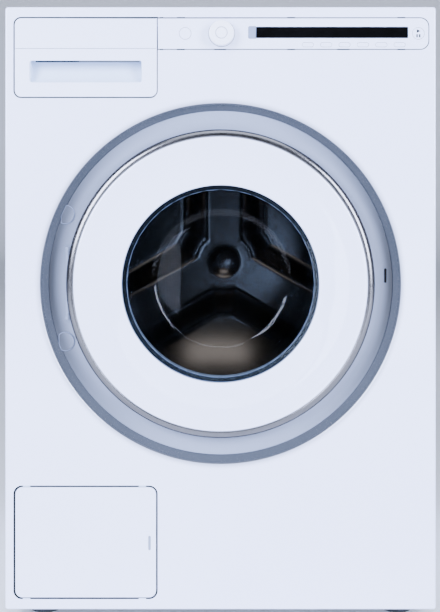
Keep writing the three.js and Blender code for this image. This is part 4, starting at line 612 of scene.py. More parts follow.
def screw_group():
    """Cross-head screws standing on given points, their heads towards +Y."""
    tree, given = node_group("screws", {"Head Radius": 0.004, "Head Height": 0.002})
    radius, height = given["Head Radius"], given["Head Height"]
    dome = result(tree, "GeometryNodeMeshUVSphere", {"Segments": 24, "Rings": 12, "Radius": radius})
    share = math_node(tree, "DIVIDE", height, radius)
    squash = result(tree, "ShaderNodeCombineXYZ", {"X": 1.0, "Y": share, "Z": 1.0})
    head = result(tree, "GeometryNodeTransform", {"Geometry": dome, "Scale": squash})
    # Two bars cut the cross out of the dome.
    long, wide = (math_node(tree, "MULTIPLY", radius, times) for times in (1.1, 0.2))
    lift = result(tree, "ShaderNodeCombineXYZ", {"Y": height})
    for across, along in ((long, wide), (wide, long)):
        size = result(tree, "ShaderNodeCombineXYZ", {"X": across, "Y": height, "Z": along})
        bar = result(tree, "GeometryNodeMeshCube", {"Size": size})
        slot = result(tree, "GeometryNodeTransform", {"Geometry": bar, "Translation": lift})
        head = result(tree, "GeometryNodeMeshBoolean", {"Mesh 1": head, "Mesh 2": slot}, operation="DIFFERENCE")
    screws = result(tree, "GeometryNodeInstanceOnPoints", {"Points": given["Geometry"], "Instance": head})
    return end_group(tree, given, screws)


def hoop_group():
    """A half-round bead bent into a ring about an axis along Y."""
    tree, given = node_group(
        "hoop", {"Radius": 0.2036, "Width": 0.0097, "Half Thickness": 0.007, "Centre": (0, 0, 0), "Segments": 192}
    )
    values = {"Resolution": given["Segments"], "Radius": given["Radius"]}
    path = result(tree, "GeometryNodeCurvePrimitiveCircle", values)
    values = {"Resolution": 25, "Radius": 1.0, "Start Angle": -math.pi / 2, "Sweep Angle": math.pi}
    bow = result(tree, "GeometryNodeCurveArc", {**values, "Connect Center": True})
    size = result(tree, "ShaderNodeCombineXYZ", {"X": given["Width"], "Y": given["Half Thickness"], "Z": 1.0})
    profile = result(tree, "GeometryNodeTransform", {"Geometry": bow, "Scale": size})
    bead = result(tree, "GeometryNodeCurveToMesh", {"Curve": path, "Profile Curve": profile})
    smooth = result(tree, "GeometryNodeSetShadeSmooth", {"Geometry": bead})
    return end_group(tree, given, laid_down(tree, given, smooth))


# Cabinet


def hole_outlines():
    """The front panel's two cut-outs: round the drawer and the fascia together, and round the flap."""
    left, _, bottom, top = face_box("drawer_front", 1.8)
    right, end = high("drawer_front", X) + 1.4, high("control_fascia", X) + 1.2
    strip_low, strip_top = low("control_fascia", Z) - 1.2, top - 0.6
    drawer = rounded(left, right, bottom, top, [10.4, 10.4, 0, 10.4])
    strip = rounded(right, end, strip_low, strip_top, [0, 12.4, 12.4, 0])
    corner = len(drawer) // 4
    controls = (
        drawer[: corner * 2]
        + [(right, strip_low)]
        + strip[corner : corner * 3]
        + [(right, strip_top), (right, top)]
        + drawer[corner * 3 :]
    )
    left, *rest = flap_box(2.3)
    return controls, rounded(left - 0.5, *rest, 11.5)


# How far each of the flap's hinge pins stands out of its plate
FLAP_PIN = 3.2


def flap_box(grown=0.0):
    """Left, right, bottom and top of the service flap's plate, without its pins."""
    left, right, bottom, top = face_box("service_flap", grown)
    return left + FLAP_PIN, right - FLAP_PIN, bottom, top


def build_front_panel(settings):
    """The front sheet: rounded edges, the pressed dish round the door and the cut-outs."""
    mesh = bmesh.new()
    edge, steps, fold = settings.cabinet_edge / MM, settings.segments, 20
    outline = rounded(-SIDE, SIDE, BASE, TOP, edge + 1, 8)
    rows = [ring(mesh, grow(outline, -inset), FRONT + back) for inset, back in rounding(edge, 8)]
    rows.append(ring(mesh, outline, FRONT + fold))
    bridges(mesh, rows)
    fronts = [rows[0]]
    # The dish: its mouth rolls into its wall, and its wall into its floor.
    mouth, lip, wall, corner, opening, floor = 253, 6, 239.6, 3.2, 172, FRONT + 17.3
    profile = arc(mouth, FRONT + lip, lip, lip, 270, 180, 12)
    profile += arc(wall - corner, floor - corner, corner, corner, 20, 90, 5) + [(opening, floor)]
    dish = [ring(mesh, circle(0, AXIS_Z, radius, steps), y) for radius, y in profile]
    fronts.append(dish[0])
    before = len(mesh.faces)
    bridges(mesh, dish)
    mesh.faces.ensure_lookup_table()
    # These bands of the dish's wall take the darker enamel, which is painted shade.
    painted_shade_from, painted_shade_to = 5, 17
    for face in mesh.faces[before + painted_shade_from * steps : before + painted_shade_to * steps]:
        face.material_index = 1
    for line in hole_outlines():
        rows = [ring(mesh, grow(line, inset), FRONT + back) for inset, back in rounding(0.5, 3)]
        fronts.append(rows[0])
        bridges(mesh, rows)
    fill(mesh, fronts)
    looks = ["front_enamel_with_painted_shade", "dish_enamel"]
    make_object("front_sheet", mesh, looks, "cabinet", ["front_panel"], sheet=1.2)


def build_gaps():
    """Painted shadow strips in the gaps round the controls and the flap, painted shade in the fascia's clip notches,
    and the flap's tabs.
    """
    # The flap's edge dips below its closed place as it turns, so its strip is thin.
    strips = (("controls_gap", 1.1, 1.2), ("flap_gap", 1.8, 0.5))
    for (name, width, thick), line in zip(strips, hole_outlines()):
        gap_ring(name, grow(line, -0.05), grow(line, -width), FRONT + 0.8, thick)
    # Dark notches of painted shade, given as (start, end) to the right of the drawer's front
    top, bottom = high("control_fascia", Z) + 0.7, low("control_fascia", Z) - 0.7
    right, half = high("drawer_front", X), 0.9
    notches = [(z, pair) for z in (bottom, top) for pair in ((4, 9), (28, 39), (180, 191), (332, 343))]
    notches += [(bottom, (79, 96)), (bottom, (249, 266))]
    mesh = bmesh.new()
    for z, (start, end) in notches:
        slab(mesh, rounded(right + start, right + end, z - half, z + half, 0.3, 3), FRONT - 0.04, FRONT + 0.6)
    make_object("fascia_notches", mesh, "notch_shade", "cabinet", weighted=False)
    # Four pale tabs at the sheet's edge, above and below the flap
    left, right, bottom, top = flap_box(2.2)
    long, tall = 10, 1.3
    mesh = bmesh.new()
    for x in (left + 12.5, right - 26):
        for z in (bottom, top - tall):
            slab(mesh, rounded(x, x + long, z, z + tall, 0.3, 3), FRONT + 0.1, FRONT + 1.2)
    make_object("flap_tabs", mesh, "recess_abs", "cabinet", weighted=False)


def build_cabinet(settings):
    """The front sheet, the wrap, the top panel, the base plate and the rear cover with its screws."""
    build_front_panel(settings)
    build_gaps()
    for node, width in (("cabinet_wrap", 0.5), ("top_panel", 2.0)):
        softened(node, "enamelled_steel", "cabinet", width)
    for node, width in (("base_plate", 0.4), ("rear_cover", 0.5)):
        softened(node, "galvanised_steel", "cabinet", width)
    _, reach, bottom, top = face_box("rear_cover", -7)
    # The screws' heads stand a little way into the cover's thickness.
    rear = REAR + (high("rear_cover", Y) - REAR) * 0.12
    points = [(side * reach, rear, bottom + (top - bottom) * i / 5) for side in (-1, 1) for i in range(6)]
    points += [(x, rear, z) for z in (bottom, top) for x in (-reach / 3, reach / 3)]
    points += [(side * (SIDE - 12), REAR, z) for side in (-1, 1) for z in (BASE + 20, 300, 560, TOP - 32)]
    points += [(side * 110, REAR, TOP - 12) for side in (-1, 1)]
    place_screws("rear_screws", 4.2, 2.0, "cabinet", points)


def place_screws(name, radius, height, body, points):
    """Galvanised screws with heads of one size at some points."""
    values = {"Head Radius": radius * MM, "Head Height": height * MM}
    grown_by_nodes(name, screw_group(), values, "galvanised_steel", body, points)


def build_surround(settings):
    """The plastic ring on the dish's floor with the lock's slot, and the two hinge covers."""
    hole, reach, edge, back = 175, 239.2, 1.2, SURROUND + 3
    mesh = lathe_mesh(
        [(hole + 0.4, back), (hole, SURROUND + 0.6), (hole + 0.8, SURROUND)]
        + arc(reach - edge, SURROUND + edge, edge, edge, 270, 360, 5)
        + [(reach - 0.9, back), (hole + 0.4, back)],
        settings.segments,
    )
    make_object("surround_ring", mesh, "surround_abs", "cabinet", ["door_surround"])
    # The lock's slot has a raised rim, and a dark face is the painted shadow of its depth.
    x, z = 229, AXIS_Z + 10
    slot = rounded(x - 1.6, x + 1.6, z - 10, z + 10, 1.4)
    mesh = plate_mesh(rounded(x - 2.6, x + 2.6, z - 11, z + 11, 2), [slot], SURROUND - 0.35, 0.6, 0.3)
    make_object("lock_slot_rim", mesh, "surround_abs", "cabinet")
    mesh = plate_mesh(grow(slot, 0.2), [], SURROUND - 0.25, 0.5, 0.05)
    make_object("lock_slot_painted_shadow", mesh, "dark_hole", "cabinet")
    for node in ("hinge_cap_upper", "hinge_cap_lower"):
        build_cap(node)


def build_cap(node):
    """A round cover over the hinge's screws, clipped where the dish's wall begins."""
    front, radius = low(node, Y), half_height(node)
    reach = high("door_surround", X) - 0.6
    line = []
    for x, z in circle(high(node, X) - radius - 4, middle(node)[1], radius, 72):
        x, up = max(x, low(node, X)), z - AXIS_Z
        share = min(1, reach / math.hypot(x, up))
        line.append((x * share, AXIS_Z + up * share))
    kept = [p for i, p in enumerate(line) if (Vector(p) - Vector(line[i - 1])).length > 0.05]
    outer, inner = grow(kept, 0.75), grow(kept, 0.05)
    # A grey-blue ring round the cover is its painted shadow outline.
    gap_ring(node + "_gap", outer, inner, front + 0.9, 0.4, 0.02, "block_abs")
    mesh = plate_mesh(kept, [], front, 1.6, 0.6)
    make_object(node + "_cover", mesh, "surround_abs", "cabinet", [node])


# Controls

ROUND_BUTTONS = ("power_button", "start_button")
OVAL_BUTTONS = tuple(f"option_button_{i}" for i in range(1, 7))
# How much wider than its cap a button's hidden flange is
ROUND_FLANGE, OVAL_FLANGE = 1.5, 1


def build_fascia():
    """The control strip with its display window and the pale block at the window's left end."""
    gap = 0.35
    holes = [rounded(*face_box("display_window", 0.3), 0.9, 5)]
    for node in ROUND_BUTTONS:
        x, z, radius = button_place(node)
        holes.append(circle(x, z, radius + gap, 72))
    holes += [grow(oval(node), gap) for node in OVAL_BUTTONS]
    mesh = plate_mesh(rounded(*face_box("control_fascia"), [0, 11.6, 11.6, 0]), holes, FRONT, 4.0, 0.45)
    make_object("fascia_strip", mesh, "white_abs", "cabinet", ["control_fascia"])
    left, right, bottom, top = face_box("display_window")
    mesh = plate_mesh(rounded(left, right, bottom, top, 0.8, 5), [], FRONT + 0.35, 2.4, 0.2)
    make_object("display_pane", mesh, "display_acrylic", "cabinet", ["display_window"])
    block = rounded(left - 11.3, left - 0.2, bottom - 1.2, top + 1.2, [2.4, 0.2, 0.2, 2.4], 6)
    mesh = plate_mesh(block, [], FRONT - 0.6, 2.0, 0.5)
    make_object("display_end_block", mesh, "block_abs", "cabinet")


def button_place(node):
    """Middle and cap radius of a round push button."""
    return *middle(node), half_height(node) - ROUND_FLANGE


def oval(node):
    """The outline of an option button's cap."""
    return rounded(*face_box(node, -OVAL_FLANGE), half_height(node) - OVAL_FLANGE - 0.01)


def build_buttons():
    """The power and start buttons, the six option buttons and the start button's sign."""
    edge = 0.7
    for node in ROUND_BUTTONS:
        x, z, radius = button_place(node)
        flange = radius + ROUND_FLANGE
        profile = [(0, FRONT + 0.3), (radius * 0.6, FRONT + 0.22)]
        profile += arc(radius - edge, FRONT + edge, edge, edge, 270, 360, 5)
        profile += [(radius, FRONT + 2.8), (flange, FRONT + 2.8), (flange, FRONT + 4.8), (0, FRONT + 4.8)]
        make_object(node + "_cap", lathe_mesh(profile, 72, x, z), "white_abs", node, [node])
    for node in OVAL_BUTTONS:
        mesh = plate_mesh(oval(node), [], FRONT - 0.05, 3.4, 0.5)
        make_object(node + "_cap", mesh, "white_abs", node, [node])
    caps = [circle(*button_place(node), 72) for node in ROUND_BUTTONS] + [oval(node) for node in OVAL_BUTTONS]
    # Dark rings in the gaps round the caps are painted shadow.
    for number, line in enumerate(caps, 1):
        gap_ring(f"button_gap_{number}", grow(line, 0.33), grow(line, 0.04), FRONT + 0.3, 0.6, 0.02)
    # The start button's plain sign: a triangle over two bars
    x, z, _ = button_place("start_button")
    triangle = [(x - 2.2, z + 0.7), (x + 2.8, z + 3.3), (x - 2.2, z + 5.9)]
    bars = [rounded(left, left + 2.1, z - 5.4, z - 1.0, 0.2, 3) for left in (x - 2.9, x + 0.8)]
    mesh = bmesh.new()
    for line in (triangle, *bars):
        slab(mesh, line, FRONT + 0.12, FRONT + 0.3)
    make_object("start_sign", mesh, "screen_print", "start_button", weighted=False)


def build_knob():
    """The programme knob with its rounded rim, and the push button in its middle."""
    x, z = middle("program_knob")
    face, radius = low("program_knob", Y), half_height("program_knob") + 0.9
    back, bore = FRONT - 0.6, 8.1
    mesh = lathe_mesh(
        [(bore, face + 4), (bore, face + 0.5), (bore + 0.5, face), (radius - 3.4, face + 0.1)]
        + arc(radius - 2.4, face + 1.7, 1.7, 1.6, 270, 360, 8)
        + [(radius - 0.1, back - 1), (radius, back - 0.5), (radius - 0.4, back), (0, back)],
        128, x, z,
    )
    make_object("knob_shell", mesh, "knob_abs", "program_knob", ["program_knob"])
    # Dark ring round the knob's base: painted shadow of its gap
    gap_ring("knob_painted_gap_shadow", circle(x, z, radius + 0.45, 128), circle(x, z, radius - 1.5, 128), FRONT - 0.15, 0.3)
    front, edge, button = low("knob_button", Y), 0.7, 7.5
    profile = [(0, front), (button - 1.1, front + 0.05)] + arc(button - edge, front + edge, edge, 0.65, 270, 360, 4)
    profile += [(button, front + 2.4), (0, front + 2.4)]
    make_object(
        "knob_button_cap", lathe_mesh(profile, 96, x, z), "knob_abs", "knob_button", ["knob_button"]
    )


# Drawer and flap


def build_drawer():
    """The drawer's front with its crease and its curved handle pocket, and the tray."""
    left, right, bottom, top = face_box("drawer_front")
    grip_left, grip_right, grip_low, grip_top = left + 20.5, right - 20.5, bottom + 19.7, bottom + 49.9
    grip = rounded(grip_left, grip_right, grip_low, grip_top, 3.2, 8)
    mesh = plate_mesh(rounded(left, right, bottom, top, [9, 9, 0, 9]), [grip], FRONT, 3.0, 0.6)
    crease = low("control_fascia", Z) + 0.6
    bisected(mesh, crease, 0.6, 0.5)
    make_object("drawer_face", mesh, "white_abs", "drawer", ["drawer_front"])
    # A dark strip along the crease is its painted shade.
    mesh = plate_mesh(rounded(left + 1, right - 1, crease - 0.25, crease + 0.25, 0.2, 3), [], FRONT + 0.2, 0.5, 0.05)
    make_object("drawer_crease", mesh, "notch_shade", "drawer", weighted=False)
    # Painted shadow under the pocket's upper edge, darker on its left
    parting = grip_left + 69
    for name, look, start, end in (
        ("grip_painted_shadow_left", "dark_hole", grip_left + 8, parting),
        ("grip_painted_shadow_right", "dish_enamel", parting, grip_right - 3),
    ):
        line = rounded(start, end, grip_top - 2.1, grip_top - 0.3, 0.5, 3)
        mesh = plate_mesh(line, [], FRONT + 1.4, 1.0, 0.1)
        make_object(name, mesh, look, "drawer", weighted=False)
    # The pocket is a curved trough, drawn as sections from its left to its right end.
    ceiling, depth = grip_top + 8, 17
    ends = [(grip_left + reach, inset) for inset, reach in rounding(2.5, 6)]
    ends += [(grip_right - (x - grip_left), inset) for x, inset in reversed(ends)]
    mesh = bmesh.new()
    sections = []
    for x, inset in ends:
        trough = arc(ceiling - inset, FRONT + 3, grip_low + inset * 2 - ceiling, depth - inset, 0, 90, 16)
        line = [(grip_low + inset, FRONT + 0.6), *trough, (ceiling - inset, FRONT + 3)]
        sections.append([mesh.verts.new((x * MM, y * MM, z * MM)) for z, y in line])
    for first, second in zip(sections, sections[1:]):
        for i in range(len(first) - 1):
            mesh.faces.new((first[i], first[i + 1], second[i + 1], second[i]))
    for section in (sections[0], sections[-1]):
        mesh.faces.new(section)
    make_object("drawer_pocket", mesh, "recess_abs", "drawer", sheet=1.0, weighted=False)
    softened("drawer_tray", "recess_abs", "drawer", 0.6)


def build_flap():
    """The service flap's plate with its coin slot, its rim and its hinge pins."""
    left, right, bottom, top = flap_box()
    x, z = right - 9, bottom + 75
    slot = rounded(x - 1.75, x + 1.75, z - 10, z + 10, 1.7, 8)
    mesh = plate_mesh(rounded(left, right, bottom, top, 9.5), [slot], FRONT, 2.5, 0.6)
    # The floor of the coin slot, in the darker grey-blue plastic as painted shade
    before = len(mesh.faces)
    slab(mesh, grow(slot, 0.3), FRONT + 0.9, FRONT + 2.2)
    mesh.faces.ensure_lookup_table()
    for face in mesh.faces[before:]:
        face.material_index = 1
    outer = rounded(left + 4, right - 4, bottom + 4, top - 4, 5.5)
    inner, front, back = grow(outer, -2), FRONT + 2.3, FRONT + 8.5
    rows = [ring(mesh, line, y) for line, y in ((outer, front), (outer, back), (inner, back), (inner, front))]
    bridges(mesh, rows + rows[:1])
    looks = ["white_abs", "surround_abs"]
    make_object("flap_plate", mesh, looks, "service_flap", ["service_flap"])
    mesh = bmesh.new()
    radius, length = 2.5 * MM, FLAP_PIN + 4
    for start in (left - FLAP_PIN, right - 4):
        place = Matrix.Translation(Vector((start + length / 2, FRONT + 6, bottom + 12)) * MM)
        place = place @ Matrix.Rotation(math.pi / 2, 4, "Y")
        bmesh.ops.create_cone(
            mesh, cap_ends=True, segments=32, radius1=radius, radius2=radius, depth=length * MM, matrix=place
        )
    make_object("flap_pins", mesh, "white_abs", "service_flap")


# Door


def build_door(settings):
    """The polished ring, the bright trim, the glass bowl, the inner frame and the hinge arm."""
    face, outer, hole, back = DOOR_FRONT, 203.3, 136.0, DOOR_FRONT + 17
    # The ring's face is hollow between its outer and its inner edge.
    wide, hollow = outer - 4 - hole - 3, 2.6
    across = [i / 24 for i in range(25)]
    profile = (
        [(outer - 3.3, back), (outer, back), (outer, face + 3)]
        + arc(outer - 3, face + 2.4, 3, 2.4, 0, -80, 8)
        + [(outer - 4 - wide * t, face + hollow * math.sin(math.pi * t)) for t in across]
        + arc(hole + 1.6, face + 1.7, 1.6, 1.6, 270, 180, 6)
        + [(hole, face + 7), (hole + 2.5, face + 7), (hole + 3, face + 3.4), (168, face + 5.6)]
        + [(outer - 3.6, face + 3.4), (outer - 3.3, back)]
    )
    mesh = lathe_mesh(profile, settings.segments)
    make_object("door_face", mesh, "gloss_abs", "door", ["door_ring"])
    values = {
        "Radius": (outer + 0.3) * MM,
        "Width": settings.trim_width,
        "Half Thickness": 7 * MM,
        "Centre": (0, (face + 7.3) * MM, AXIS_Z * MM),
        "Segments": settings.segments,
    }
    grown_by_nodes(
        "door_trim_bead", hoop_group(), values, "chrome_plating", "door", nodes=["door_trim"]
    )
    build_glass(settings.segments)
    softened("door_inner_frame", "surround_abs", "door", 0.5, 30)
    for node, body in (("door_hinge_arm", "door"), ("hinge_bracket", "cabinet")):
        softened(node, "hinge_enamel", body, 0.4)


def build_glass(steps):
    """The glass bowl: a closed shell, thick at the rim and tapering to its domed nose."""
    front, nose, wall = DOOR_FRONT + 1.5, DOOR_FRONT + 101, 1.6
    rim, neck, tip, bend, rim_back = 135.7, 129.5, 89, 22, front + 6.5
    outer = [(rim, front + 0.6), (rim, rim_back), (neck, rim_back)]
    outer += arc(tip, nose - bend, bend, bend, 0, 84, 14)
    dome = [(tip * (1 - i / 12), nose + 4 * (1 - (1 - i / 12) ** 2)) for i in range(1, 13)]
    inner_dome = [(r, y - wall) for r, y in reversed(dome)]
    inner = arc(tip, nose - bend, bend - wall, bend - wall, 84, 0, 14) + [(neck - wall, rim_back)]
    inner += [(neck - wall, front + 0.8), (neck - 0.9, front), (rim - 0.6, front), (rim, front + 0.6)]
    mesh = lathe_mesh(outer + dome + inner_dome + inner, steps)
    make_object("door_bowl", mesh, "door_glass", "door", ["door_glass"], weighted=False)
    # Black ring printed on the back of the glass's flange
    start, end = rim_back + 0.05, rim_back + 0.35
    profile = [(neck + 0.4, start), (rim - 0.1, start), (rim - 0.1, end), (neck + 0.4, end), (neck + 0.4, start)]
    mesh = lathe_mesh(profile, steps)
    make_object("glass_rim_print", mesh, "black_enamel", "door", weighted=False)


# Drum and tub

DRUM_RADIUS = high("drum_shell", X)
DRUM_FRONT = FRONT + 83.5
DRUM_REAR = high("drum_shell", Y)
ARMS = [math.pi / 2 + math.tau * i / 3 for i in range(3)]


def star_rise(radius, angle):
    """How far the drum's rear wall stands forward: level on the arms and the hub, bulging between the arms."""
    rise, flank, rim_flank, arm_half, hub, nose = 30, 46, 26, 25, 43, 27
    third = math.tau / 3
    off = abs((angle - ARMS[0] + third / 2) % third - third / 2)

    def ease(value):
        part = min(max(value, 0), 1)
        return part * part * (3 - 2 * part)

    beside = ease((radius * math.sin(off) - arm_half) / flank)
    outside_hub = ease((radius - hub) / flank)
    inside_rim = ease((DRUM_RADIUS - radius) / rim_flank)
    dome = 5 * (1 - (radius / nose) ** 2) if radius < nose else 0
    return rise * min(beside, outside_hub) * inside_rim + dome


def build_drum(settings):
    """The perforated shell, the pressed star of the rear wall and the three lifters."""
    radius, front, rear, sheet, shoulder = DRUM_RADIUS, DRUM_FRONT, DRUM_REAR, 1.2, 12
    outer = [(radius, rear)] + arc(radius - shoulder, front + shoulder, shoulder, shoulder, 0, -90, 10)
    # The front lip, rolled back round the opening
    outer += arc(167, front - 2.4, 9, 9, 90, 180, 8)
    inner = [(r - sheet if r > 200 else r + 0.2, y + (sheet if r > 160 else 0.4)) for r, y in reversed(outer[1:])]
    inner.append((radius - sheet, rear))
    mesh = lathe_mesh(outer + inner + outer[:1], settings.segments)
    make_object("drum_wall", mesh, "brushed_stainless", "drum", ["drum_shell"], weighted=False)
    # The holes are near black discs: painted shadow of the space behind them.
    values = {
        "Radius": (radius - sheet - 0.08) * MM,
        "Length": (rear - front - 50) * MM,
        "Hole Radius": settings.hole_size / 2,
        "Columns": settings.hole_columns,
        "Rows": settings.hole_rows,
        "Centre": (0, (front + rear - 10) / 2 * MM, AXIS_Z * MM),
    }
    grown_by_nodes("drum_holes", perforation_group(), values, "dark_hole", "drum")
    build_star()
    for number, angle in enumerate(ARMS, 1):
        build_lifter(f"lifter_{number}", angle)


def build_star():
    """The drum's rear wall: rings and spokes over the star's surface, closed behind."""
    mesh = bmesh.new()
    outer, plane, thick, rings, turns = DRUM_RADIUS - 1.5, DRUM_REAR - 6, 2.4, 56, 240
    angles = [math.tau * k / turns for k in range(turns)]
    edges = []
    for y in (plane, plane + thick):
        tip = mesh.verts.new((0, (y - star_rise(0, 0)) * MM, AXIS_Z * MM))
        rows = []
        for r in (outer * (i / rings) for i in range(1, rings + 1)):
            places = [(r * math.cos(a), y - star_rise(r, a), AXIS_Z + r * math.sin(a)) for a in angles]
            rows.append([mesh.verts.new([c * MM for c in place]) for place in places])
        for k in range(turns):
            mesh.faces.new((tip, rows[0][k], rows[0][(k + 1) % turns]))
        bridges(mesh, rows)
        edges.append(rows[-1])
    bridge(mesh, *edges)
    make_object("drum_star", mesh, "pressed_stainless", "drum", ["drum_back"], sharp=60, weighted=False)


def build_lifter(node, angle):
    """A paddle with a waist and rounded flanks, standing on the drum's wall."""
    mesh = bmesh.new()
    seat, start, end, steps = DRUM_RADIUS - 1.5, DRUM_FRONT + 45, DRUM_REAR - 40, 40
    foot, crown, height = 40, 15, 58
    outward = Vector((math.cos(angle), math.sin(angle)))
    across, inward = Vector((-outward.y, outward.x)), -outward
    sections = []
    for i in range(steps + 1):
        t = i / steps
        # The paddle is narrowest and tallest in its middle, and its ends are drawn in a little.
        swell = math.sin(math.pi * t)
        width, tall = 1 - 0.34 * swell, height * (0.62 + 0.38 * math.sqrt(swell))
        if i in (0, steps):
            width, tall = width * 0.97, tall - 2
        half, tip, top = foot * width, crown * width, tall * 0.985
        flank = arc(half, top, tip - half, -top, 90, 0, 18)
        line = flank + arc(0, top, tip, tall * 0.015, 30, 150, 4) + [(-w, h) for w, h in reversed(flank)]
        row = []
        for w, h in line:
            place = outward * (math.sqrt(seat**2 - w**2) - 0.4) + across * w + inward * h
            row.append(mesh.verts.new((place.x * MM, (start + (end - start) * t) * MM, (AXIS_Z + place.y) * MM)))
        sections.append(row)
    bridges(mesh, sections)
    for section in (sections[0], sections[-1]):
        mesh.faces.new(section)
    make_object(node + "_paddle", mesh, "brushed_stainless", "drum", [node], sharp=50, weighted=False)


def build_seal(settings):
    """The door's rubber seal: the collar, the fold and the lip."""
    lip, inner, outer, wall = 132, 149.7, 158, 4
    front, near = FRONT + 21.5, low("tub_front", Y) - 0.3
    back = near + 10
    profile = [(inner, back), (inner, near)]
    profile += arc(outer - 2, near - 2, 2, 2, 90, 0, 5) + arc(outer - 3, front + 3, 3, 3, 0, -90, 6)
    profile += arc(lip + 5, front + 5, 5, 5, -90, -180, 8) + arc(lip + 2, front + 13, 2, 2, 180, 90, 5)
    profile += arc(lip + 9, front + 11, 3, 2, 90, 60, 3)
    profile += [(inner - wall, near - 2), (inner - wall, back), (inner, back)]
    mesh = lathe_mesh(profile, settings.segments)
    make_object("seal_bellows", mesh, "epdm_rubber", "tub", ["door_seal"], sharp=60, weighted=False)


# Pieces behind the panels, as {slot: (look, {node: body})}
HIDDEN = {
    "stainless": ("pressed_stainless", {"outer_tub": "tub", "tub_front": "tub"}),
    "galvanised_steel": (
        "galvanised_steel",
        {"bearing_cartridge": "tub", "heater": "tub", "tub_cradle": "tub", "motor_pulley": "motor_rotor"},
    ),
    "cast_aluminium": ("cast_aluminium", {"motor": "tub", "drum_spider": "drum", "drum_pulley": "drum"}),
    "concrete": ("concrete", {"counterweight": "tub"}),
    "seal_rubber": ("belt_rubber", {"drive_belt": "tub"}),
    "dark_plastic": (
        "black_nylon",
        {"door_lock": "cabinet", **{f"strut_cylinder_{i}": "cabinet" for i in range(1, 5)}},
    ),
    "grey_plastic": (
        "grey_polypropylene",
        {"dispenser_housing": "cabinet", "drain_pump": "cabinet", "rear_outlet": "cabinet", "inlet_valve": "cabinet",
         "drain_filter": "drain_filter"},
    ),
}


def build_inside(settings):
    """The pieces behind the panels, with rounded edges and their own materials, and the tub's joint screws."""
    for slot, (look, nodes) in HIDDEN.items():
        for node, body in nodes.items():
            softened(node, look, body, 0.5)
    build_seal(settings)
    joint, reach, count = low("outer_tub", Y) + 3, high("outer_tub", X) - 2.6, 16
    angles = [math.tau * (i + 0.5) / count for i in range(count)]
    points = [(reach * math.cos(a), joint, AXIS_Z + reach * math.sin(a)) for a in angles]
    place_screws("tub_screws", 2.4, 1.6, "tub", points)


def build_feet():
    """The four screw feet: a rounded rubber-soled pad, a hexagonal nut and a stud."""
    for number in range(1, 5):
        node = f"foot_{number}"
        softened(node, "black_nylon", node, 0.8)


# Stage


def area_lamp(name, spot, size, power, hexcode, target=(0, -0.2, 0.45)):
    """A rectangular lamp in one place that shines towards another, in metres and watts."""
    data = bpy.data.lights.new(name, "AREA")
    data.shape = "RECTANGLE"
    data.size, data.size_y = size
    data.energy = power
    data.color = linear(hexcode)[:3]
    lamp = bpy.data.objects.new(name, data)
    lamp.location = spot
    lamp.rotation_euler = (Vector(target) - lamp.location).to_track_quat("-Z", "Y").to_euler()
    bpy.context.scene.collection.objects.link(lamp)
    return lamp


def build_stage(settings):
    """A pale floor running up into a backdrop, soft lights and the camera."""
    tree, shader, _, place = new_look("stage_paper")
    tree.links.new(blended(tree, noise(tree, place, 400), "#F4F5F7", "#F0F1F4"), shader.inputs["Base Color"])
    shader.inputs["Roughness"].default_value = 0.85
    # The floor, in metres, runs far back, so that the bend is behind the camera in views from behind.
    near, far, bend, height, half = -2.2, 6.0, 0.8, 4.0, 4.0
    line = [(near, 0.0), (far, 0.0)]
    for angle in range(10, 91, 10):
        a = math.radians(angle)
        line.append((far + bend * math.sin(a), bend - bend * math.cos(a)))
    line.append((far + bend, height))
    mesh = bmesh.new()
    rows = [[mesh.verts.new((x, y, z)) for y, z in line] for x in (-half, half)]
    for i in range(len(line) - 1):
        mesh.faces.new((rows[0][i], rows[0][i + 1], rows[1][i + 1], rows[1][i]))
    placed = [make_object("stage_backdrop", mesh, "stage_paper", sharp=60, weighted=False)]
    placed += [
        area_lamp("left_window", (-2.0, -2.6, 1.7), (1.4, 2.1), 420, "#D9E3FF"),
        area_lamp("right_window", (2.2, -2.4, 1.4), (1.1, 2.1), 330, "#D9E3FF"),
        area_lamp("ceiling", (0.2, -1.3, 3.0), (2.6, 1.8), 75, "#E2EAFF"),
        area_lamp("low_window", (0.36, -2.4, 0.22), (0.52, 0.36), 5, "#D9E3FF"),
    ]
    # A lamp low behind the drum's lip lights the star, and isn't seen itself.
    x = -0.017
    spot, target = (x, (FRONT + 98) * MM, (AXIS_Z - 188) * MM), (x, DRUM_REAR * MM, (AXIS_Z - 110) * MM)
    lamp = area_lamp("drum_lamp", spot, (0.12, 0.04), 0.075, "#FFE9D6", target)
    lamp.visible_camera = False
    placed.append(lamp)
    world = bpy.data.worlds.new("studio")
    world.use_nodes = True
    sky = world.node_tree.nodes["Background"]
    sky.inputs["Color"].default_value = linear("#EEF1FA")
    sky.inputs["Strength"].default_value = settings.room_light
    bpy.context.scene.world = world
    place_camera(settings.camera_distance)


def place_camera(distance):
    """The camera where the photograph was taken from, with its lens shifted to the photograph's frame."""
    # The photograph has 440 by 612 pixels, and 1.38 mm of the machine's front to a pixel. The machine's middle is at
    # column 220.5 and the front sheet's lower edge, 18 mm high, at row 609.8. The camera squarely faces column 242 and
    # row 164, which is to the right of and above the photograph's middle.
    wide, tall, scale, column, row = 440, 612, 1.38, 242, 164
    data = bpy.data.cameras.new("camera")
    camera = bpy.data.objects.new("camera", data)
    bpy.context.scene.collection.objects.link(camera)
    bpy.context.scene.camera = camera
    x, z = (column - 220.5) * scale, 18 + (609.8 - row) * scale
    camera.location = (x * MM, FRONT * MM - distance, z * MM)
    camera.rotation_euler = (math.pi / 2, 0, 0)
    data.sensor_width = 36
    data.lens = data.sensor_width * distance / (tall * scale * MM)
    data.shift_x = (wide / 2 - column) / tall
    data.shift_y = (row - tall / 2) / tall


# Add-on


